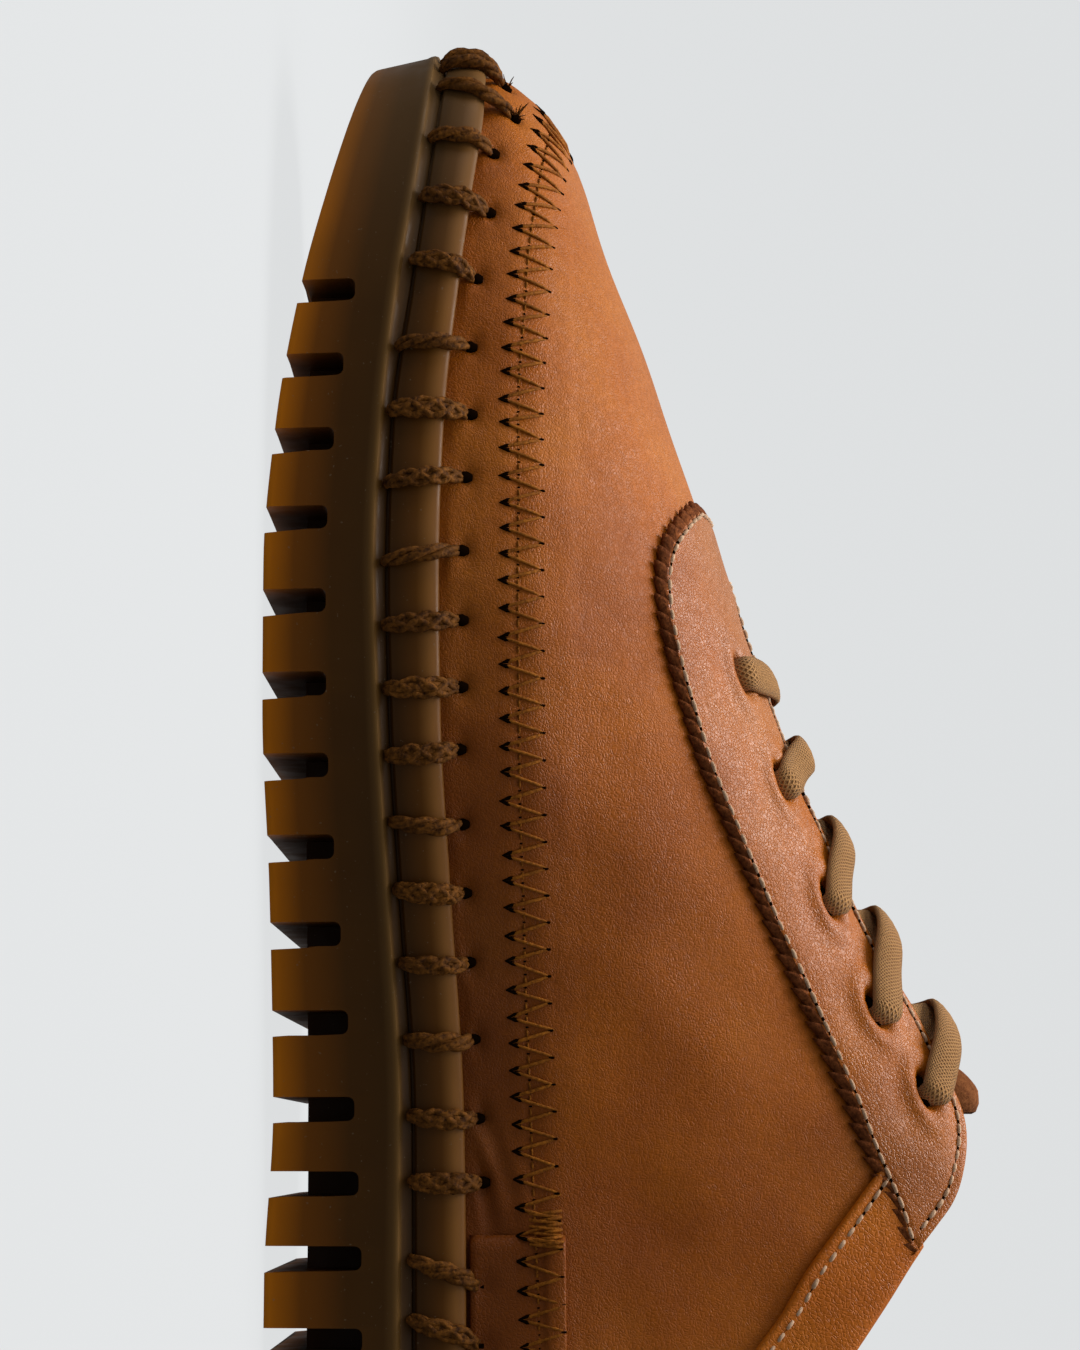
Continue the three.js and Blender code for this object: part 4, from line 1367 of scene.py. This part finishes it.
def makeWhipStitches():
    rng = random.Random(21)
    runs, holes = [], []
    lines = whipLines(*np.array(whipSpots).T)
    for k, (line, across, outward) in enumerate(lines):
        part = np.linspace(0, 1, len(line))
        body = np.clip(np.sin(np.pi * np.clip(part * 0.94 + 0.02, 0, 1)), 0, 1) ** 0.62
        braided = k not in whip["twisted"] and (k < len(whip["seen"]) or rng.random() < 0.6)
        wide = whip["width"] * rng.uniform(0.86, 1.1) * (1.0 if braided else 0.88)
        count = 6 if braided else 3
        turns = rng.uniform(1.35, 1.75) if braided else rng.uniform(1.1, 1.5)
        yarnSize = whip["yarn"] if braided else whip["ply"]
        phase = rng.uniform(0, 2 * math.pi)
        for yarn in range(count):
            hand = -1 if braided and yarn % 2 else 1
            angle = phase + hand * (2 * np.pi * turns * part) + 2 * np.pi * yarn / count
            sideways = (np.cos(angle) * (wide - yarnSize * 0.8) * body)[:, None] * across
            lift = ((0.35 + np.sin(angle) * (whip["thick"] - 0.35)) * body)[:, None] * outward
            radii = yarnSize * (0.35 + 0.65 * body) * rng.uniform(0.85, 1.1)
            runs.append((line + sideways + lift, radii))
        runs.append((line, wide * 0.60 * body + 0.15))
        # painted shade: a dark plug sunk in each hole stands for the shade inside it
        mouth = whipHoles[k]
        out, along = unit(line[-5] - line[-1]), unit(mouth - line[-3])
        holes.append((np.array([mouth - along * 1.6, mouth - along * 0.7, mouth + along * 0.2]) - out * 0.75,
                      np.array([0.9, 1.0, 0.6])))
    for k in range(2):      # frayed ends near the toe
        mouth = whipHoles[k]
        for hair in range(whip["frayed"][k]):
            way = np.array([rng.uniform(-1, 0.6), -rng.uniform(0.5, 1), rng.uniform(-0.9, 0.9)])
            reach = rng.uniform(1.2, 2.4)
            part = np.array([-0.2, 0.3, 0.7, 1])[:, None]
            spots = mouth + way * reach * part + np.array([0, -0.2, 0.5]) * part * part
            runs.append((spots, np.array([0.16, 0.14, 0.11, 0.05])))
    return threadMesh("whipStitches", runs, 1), threadMesh("whipHoles", holes, 2)


whipStitches, whipMouths = makeWhipStitches()
finishPiece(whipStitches, "cotton_lace", [whipYarn])
finishPiece(whipMouths, "tan_leather", [paintedHoleShade])


# zigzag seam round the whole shoe, with a straight row beside its middle

def seamLevel(turn, height):
    # the leather's outer surface where the seam crosses the heel piece's strap
    station = outline(turn)[..., 0]
    onPiece = smooth((station - counter["from"]) / 0.6)
    top = counterAt(station)
    return onPiece * np.where(height < top, counterShape(top - height), 0.0)


def seamTable():
    turns = np.linspace(0, 2, 801)
    turns[-1] = 0
    shifts = np.linspace(-seam["half"], seam["half"], 9)
    rises = np.array([riseAtLine(turns, lambda s: seamAt(s) + shift) for shift in shifts])
    turns[-1] = 2
    return turns, rises


seamTurns, seamRises = seamTable()
seamFar = farAlong(skin(seamTurns, seamRises[4]))


def seamSpot(far, shift, lift):
    # a point by its distance along the seam and its height over the middle line
    far, shift, lift = np.broadcast_arrays(np.asarray(far, float) % seamFar[-1], shift, lift)
    turn = np.interp(far, seamFar, seamTurns)
    place = (shift + seam["half"]) / (2 * seam["half"]) * 8
    low = np.clip(np.floor(place).astype(int), 0, 7)
    column = np.interp(turn, seamTurns, np.arange(len(seamTurns)))
    left = np.clip(column.astype(int), 0, len(seamTurns) - 2)
    lower, upper = ([seamRises[row, left], seamRises[row, left + 1]] for row in (low, low + 1))
    lower, upper = (a + (b - a) * (column - left) for a, b in (lower, upper))
    rise = lower + (upper - lower) * (place - low)
    point = skin(turn, rise)
    level = seamLevel(turn, point[..., 2])
    relief = leatherRelief(point, np.where(turn <= 1, -1.0, 1.0)) * (level < 0.2)
    return skin(turn, rise, lift + level + relief)


def makeSeam():
    rng = random.Random(33)
    count = int(round(seamFar[-1] / seam["pitch"]))
    pitch = seamFar[-1] / count
    arch = np.array([-0.25, 0.16, 0.26, 0.16, -0.25])
    part = np.linspace(0, 1, 5)
    wedge = part[:3] * 0.75
    threads, holes = [], []
    for j in range(count):
        left = j * pitch + rng.uniform(-0.25, 0.25)
        for way in (-0.5, 0.5):
            right = (j + way) * pitch + rng.uniform(-0.2, 0.2)
            shift = -seam["half"] * rng.uniform(0.92, 1) + part * seam["half"] * rng.uniform(1.85, 1.98)
            radius = seam["thread"] if way < 0 else seam["thread"] * 0.9
            run = left + (right - left) * part
            threads.append((run, shift, arch, radius * np.array([0.8, 1, 1, 1, 0.8])))
            # painted shadow: a dark wedge under the tip of each zigzag, where the pulled leather lies in
            # shade
            holes.append((left + (right - left) * wedge, shift[0] - 0.35 + (shift[4] - shift[0]) * wedge,
                          np.array([-0.05, 0.0, -0.1]), np.array([0.16, 0.40, 0.12])))
        # painted shade in the needle slot at the other end of each zigzag
        holes.append(((j + 0.5) * pitch, seam["half"] * 0.96 - np.array([0.9, 0.4, 0.0]), 0.0,
                      np.array([0.10, 0.26, 0.20])))
    straight = int(round(seamFar[-1] / 2.15))
    gap = seamFar[-1] / straight
    for j in range(straight):
        far = j * gap + np.array([0.34, 0.7, 1.2, 1.6])
        threads.append((far, -0.7, np.array([-0.2, 0.2, 0.2, -0.2]), 0.19 * np.ones(4)))
        # painted shade in the straight row's needle holes
        holes.append((j * gap + np.array([-0.12, 0.12]), -0.7, 0.03, np.array([0.26, 0.26])))
    for start in barTack["starts"]:
        near = np.interp(float(turnAt(start)), seamTurns, seamFar)
        for low, high, lean in barTack["threads"]:
            shift = low + (high - low) * part
            threads.append((near + lean * part, shift, arch * 1.3 + 0.15, 0.30 * np.ones(5)))
    return (threadMesh("seamThreads", placeRuns(threads, seamSpot), 1),
            threadMesh("seamHoleShade", placeRuns(holes, seamSpot), 0))


barTack = {
    "starts": [201.6, 202.6, 203.6, 204.6, 205.6, 206.4],
    "threads": [(-1.6, 3.4, 0.5), (0.4, 3.6, -0.4)],
}
seamThreads, seamHoleShade = makeSeam()
finishPiece(seamThreads, "cotton_lace", [seamThread])
finishPiece(seamHoleShade, "tan_leather", [paintedHoleShade])


# pale stitch rows on the facing and the collar band

rowSizes = {"radius": 0.36, "gap": 0.5, "facingPitch": 2.6, "edgePitch": 2.35, "bandPitch": 2.6}


def stitchRow(row, pitch, rng):
    # a row's threads and needle holes; row gives points for distances along it and a lift
    count = int(row.length / pitch)
    part = np.array([0.0, 0.2, 0.5, 0.8, 1.0])
    threads, holes = [], []
    for j in range(count):
        start = j * row.length / count
        size = (pitch - rowSizes["gap"]) * rng.uniform(0.94, 1.04)
        threads.append((start + size * part + rowSizes["gap"] / 2,
                        np.array([-0.30, 0.14, 0.22, 0.14, -0.30]),
                        rowSizes["radius"] * rng.uniform(0.9, 1.08) * np.array([0.7, 1, 1.05, 1, 0.7])))
        # painted shade in the needle holes at the ends of each stitch
        holes.append((start + np.array([-0.32, 0.32]), -0.08, np.array([0.33, 0.33])))
    return placeRuns(threads, row), placeRuns(holes, row)


class StitchRow:
    # called with distances along the row and a lift, it gives the points
    def __init__(self, coords, line, pointsAt):
        self.coords, self.pointsAt, self.far = coords, pointsAt, farAlong(line)
        self.length = self.far[-1]

    def __call__(self, far, lift):
        index = np.interp(far, self.far, np.arange(len(self.far)))
        return self.pointsAt(*rowsAt(self.coords, index), lift)


def facingRow(low, high, **edge):
    chart = facingChart(np.linspace(low, high, 700), **edge)
    face = facing["face"]
    return StitchRow(chart, chartSkin(*chart, face),
                     lambda along, fold, lift: chartSkin(along, fold, face - 0.2 + lift))


def bandRow():
    turns = bandTurns(900)[6:-6]
    low, top = riseAtLine(turns, bandAt, 1.0), riseAtLine(turns, bandTop, 0.5)
    span = np.linalg.norm(skin(turns, top) - skin(turns, low), axis=-1)
    rises = low + (top - low) * band["stitchIn"] / np.maximum(span, band["stitchIn"] * 1.3)
    out = band["outside"]
    return StitchRow((turns, rises), skin(turns, rises, out), lambda turn, rise, lift:
                     skin(turn, rise, out - 0.2 + bandWrinkle(skin(turn, rise)) + lift))


def makePaleStitches():
    rng = random.Random(5)
    threads, holes = [], []
    inward = facing["stitchIn"]
    for row, pitch in ((facingRow(0.012, 0.988, inFromOuter=inward), rowSizes["facingPitch"]),
                       (facingRow(0.02, 0.98, inFromInner=inward), rowSizes["edgePitch"]),
                       (bandRow(), rowSizes["bandPitch"])):
        made = stitchRow(row, pitch, rng)
        threads += made[0]
        holes += made[1]
    return threadMesh("paleStitches", threads, 1), threadMesh("paleHoleShade", holes, 0)


paleStitches, paleHoleShade = makePaleStitches()
finishPiece(paleStitches, "cotton_lace", [paleThread])
finishPiece(paleHoleShade, "tan_leather", [paintedHoleShade])
print("stitches made")

# laces: flat tapes over the facing, each end going down into a hole

tape = {
    "width": 6.8,
    "thick": 1.5,
    "lift": 2.5,
    "startLift": -0.5,      # the tape comes up from under the facing's inner edge
    "courses": 1.5,
    "shortOfHole": 1.7,     # the tape goes in at the ridge side of its hole
    "intoHole": 3.2,
    "underEdge": 1.3,
    "besideThroat": 0.6,
    "steps": 42,
    "round": 16,
    "slant": 1.9,
    "crests": [111.8, 124.0, 137.5, 153.0, 169.0],      # where each row goes over the ridge
    "over": 1.3,
}


def tapeRoute(first, second, diveFirst, diveSecond, crossing=False, over=0.0):
    # first and second: station and signed distance from the ridge; the tape goes straight up to the
    # ridge and then slants on to its hole; over lifts it where the other tape goes under it
    part = np.linspace(0, 1, tape["steps"])
    ridge = first[1] / (first[1] - second[1])
    slant = np.clip((part - ridge) / (1 - ridge), 0, 1) ** tape["slant"]
    station = first[0] + (second[0] - first[0]) * slant
    side = first[1] + (second[1] - first[1]) * part
    chart = ridgeChart(station, side)
    up = smooth(part / (2 * ridge)) if crossing else 1.0
    lift = tape["startLift"] + (tape["lift"] - tape["startLift"]) * up
    lift = lift + over * smooth((abs(first[1]) + 4 - np.abs(side)) / 5)
    ground = chartSkin(*chart, lift)
    for step in range(7):
        ground = softened(ground)
    ahead = unit(np.gradient(ground, axis=0))
    up = chartSkin(*chart, lift + 1) - chartSkin(*chart, lift)
    across = unit(np.cross(up, ahead))
    up = np.cross(ahead, across)

    def bend(end, way, dive):
        # the points where the tape turns down into its hole
        ahead, down = np.array([(0.55, 0.12), (0.95, 0.5), (1.15, 1.1), (1.2, 1.8), (1.2, dive)]).T
        return ground[end] + way * ahead[:, None] - up[end] * down[:, None]

    start, finish = bend(0, -ahead[0], diveFirst)[::-1], bend(-1, ahead[-1], diveSecond)
    spots = np.concatenate([start, ground, finish])
    sides = np.concatenate([across[:1]] * len(start) + [across] + [across[-1:]] * len(finish))
    near = np.minimum(np.arange(len(spots)), np.arange(len(spots))[::-1]) / 9
    return spots, sides, smooth(near)


def makeTape(bm, uv, route):
    spots, sides, full = route
    up = unit(np.cross(unit(np.gradient(spots, axis=0)), sides))
    far = farAlong(spots)
    rows, around = len(spots) - 1, tape["round"]
    made = bmesh.ops.create_grid(bm, x_segments=around, y_segments=rows, size=0.5)["verts"]
    part = gridShares(made)
    angle = 2 * np.pi * part[:, 0]
    row = np.rint(part[:, 1] * rows).astype(int)
    wide = tape["width"] / 2 * (0.84 + 0.16 * full[row])
    thick = tape["thick"] / 2 * (1.25 - 0.25 * full[row])
    flatten = np.sign(np.cos(angle)) * np.abs(np.cos(angle)) ** 0.75
    bulge = np.sign(np.sin(angle)) * np.abs(np.sin(angle)) ** 0.62
    curl = 0.5 * (1 - flatten**2)
    level = bulge * thick + curl
    placed = spots[row] + sides[row] * (flatten * wide)[:, None] + up[row] * level[:, None]
    for vert, spot, (u, v) in zip(made, toRow(placed), part):
        vert.co = spot
        for corner in vert.link_loops:
            corner[uv].uv = (u, far[int(round(v * rows))] * tape["courses"])


def makeLace(name, routes):
    bm = bmesh.new()
    uv = bm.loops.layers.uv.new("map")
    for route in routes:
        makeTape(bm, uv, route)
    bmesh.ops.remove_doubles(bm, verts=bm.verts, dist=2e-6)
    bmesh.ops.holes_fill(bm, edges=[e for e in bm.edges if e.is_boundary], sides=0)
    return newObject(name, bm)


def layLaces():
    holes = {}
    for centre, way, out, side, station in eyelets:
        holes.setdefault(station, {})[side > 0] = side - math.copysign(tape["shortOfHole"], side)
    stations = sorted(holes)
    first = stations[0]
    into, under = tape["intoHole"], tape["underEdge"]
    route = tapeRoute((first, holes[first][False]), (first, holes[first][True]), into, into)
    finishPiece(makeLace("laceBar1", [route]), "cotton_lace", [laceCotton], "lace_bar_1")
    for i, (station, crest) in enumerate(zip(stations[1:], tape["crests"][1:])):
        half = float(throatAt(crest)) - tape["besideThroat"]
        near, far = ((station, holes[station][outer]) for outer in (False, True))
        routes = [tapeRoute((crest, half), near, under, into, True, tape["over"]),
                  tapeRoute((crest, -half), far, under, into, True)]
        crossing = makeLace("laceCross%d" % (i + 2), routes)
        finishPiece(crossing, "cotton_lace", [laceCotton], "lace_cross_%d" % (i + 2))


def darkenHoles():
    # painted shade: a dark run sunk in each lace hole stands for the shade inside it
    part = np.array([-2.7, -1.5, 0, 1.5, 2.7])[:, None]
    runs = [(centre + way * part - out * 1.15, np.array([0.4, 1.0, 1.25, 1.0, 0.4]))
            for centre, way, out, side, station in eyelets]
    return threadMesh("laceHoleShade", runs, 2)


layLaces()
finishPiece(darkenHoles(), "facing_leather", [paintedHoleShade])
print("laces laid")

# studio

studio = {
    "floorSize": 6,
    "floorColour": (0.050, 0.051, 0.052),
    "floorGlow": (0.715, 0.730, 0.737),
    "glowOnShoe": 0.22,             # how much of the floor's glow lights the shoe
    "backdropAt": 2.6,
    "backdropHigh": 4,
    "backdropBend": 1.2,
    "skyLow": (0.050, 0.051, 0.053),
    "skyHigh": (0.80, 0.81, 0.82),
    # name, place, aim, size, power, colour
    "lamps": [("keyAbove", (-0.24, 0.05, 0.80), (-0.02, 0.0, 0.07), (0.50, 0.40), 7.0, (1.0, 0.97, 0.94)),
              ("toeSide", (-0.80, -0.30, 0.30), (-0.08, 0.0, 0.05), (0.35, 0.35), 1.5, (1.0, 0.97, 0.93))],
}


def makeStage():
    bm = bmesh.new()
    size = studio["floorSize"]
    bmesh.ops.create_grid(bm, x_segments=1, y_segments=1, size=size)
    far = [e for e in bm.edges if all(v.co.y > size - 0.01 for v in e.verts)]
    for vert in bm.verts:
        if vert.co.y > 0:
            vert.co.y = studio["backdropAt"]
    raised = bmesh.ops.extrude_edge_only(bm, edges=far)["geom"]
    bmesh.ops.translate(bm, verts=[g for g in raised if isinstance(g, bmesh.types.BMVert)],
                        vec=(0, 0, studio["backdropHigh"]))
    bmesh.ops.bevel(bm, geom=far, offset=studio["backdropBend"], segments=24, profile=0.5,
                    affect="EDGES", material=-1)
    floor = newObject("floor", bm, recalc=False)
    paint = Paint("floorPaint")
    glow = paint.range(paint.add("LightPath", {}, "Is Camera Ray"), 0, 1, studio["glowOnShoe"], 1)
    floor.data.materials.append(paint.finish({
        "Emission Strength": glow, "Emission Color": studio["floorGlow"],
        "Base Color": studio["floorColour"], "Roughness": 1.0, "Specular IOR Level": 0.0,
    }))


def addLamp(name, place, target, size, power, colour):
    data = bpy.data.lights.new(name, "AREA")
    data.energy = power
    data.shape = "RECTANGLE"
    data.size, data.size_y = size
    data.color = colour
    lamp = bpy.data.objects.new(name, data)
    lamp.location = place
    lamp.rotation_euler = (Vector(target) - Vector(place)).to_track_quat("-Z", "Y").to_euler()
    bpy.context.collection.objects.link(lamp)


makeStage()
for row in studio["lamps"]:
    addLamp(*row)
world = bpy.data.worlds.new("studioSky")
sky = Shading(world)
high = sky.range(sky.split(sky.add("TexCoord", {}, "Generated"))["Z"], 0.15, 0.95)
sky.put(sky.nodes["Background"].inputs["Color"], sky.mix(high, studio["skyLow"], studio["skyHigh"]))
bpy.context.scene.world = world
bpy.context.scene.view_settings.view_transform = "Standard"
print("studio made")
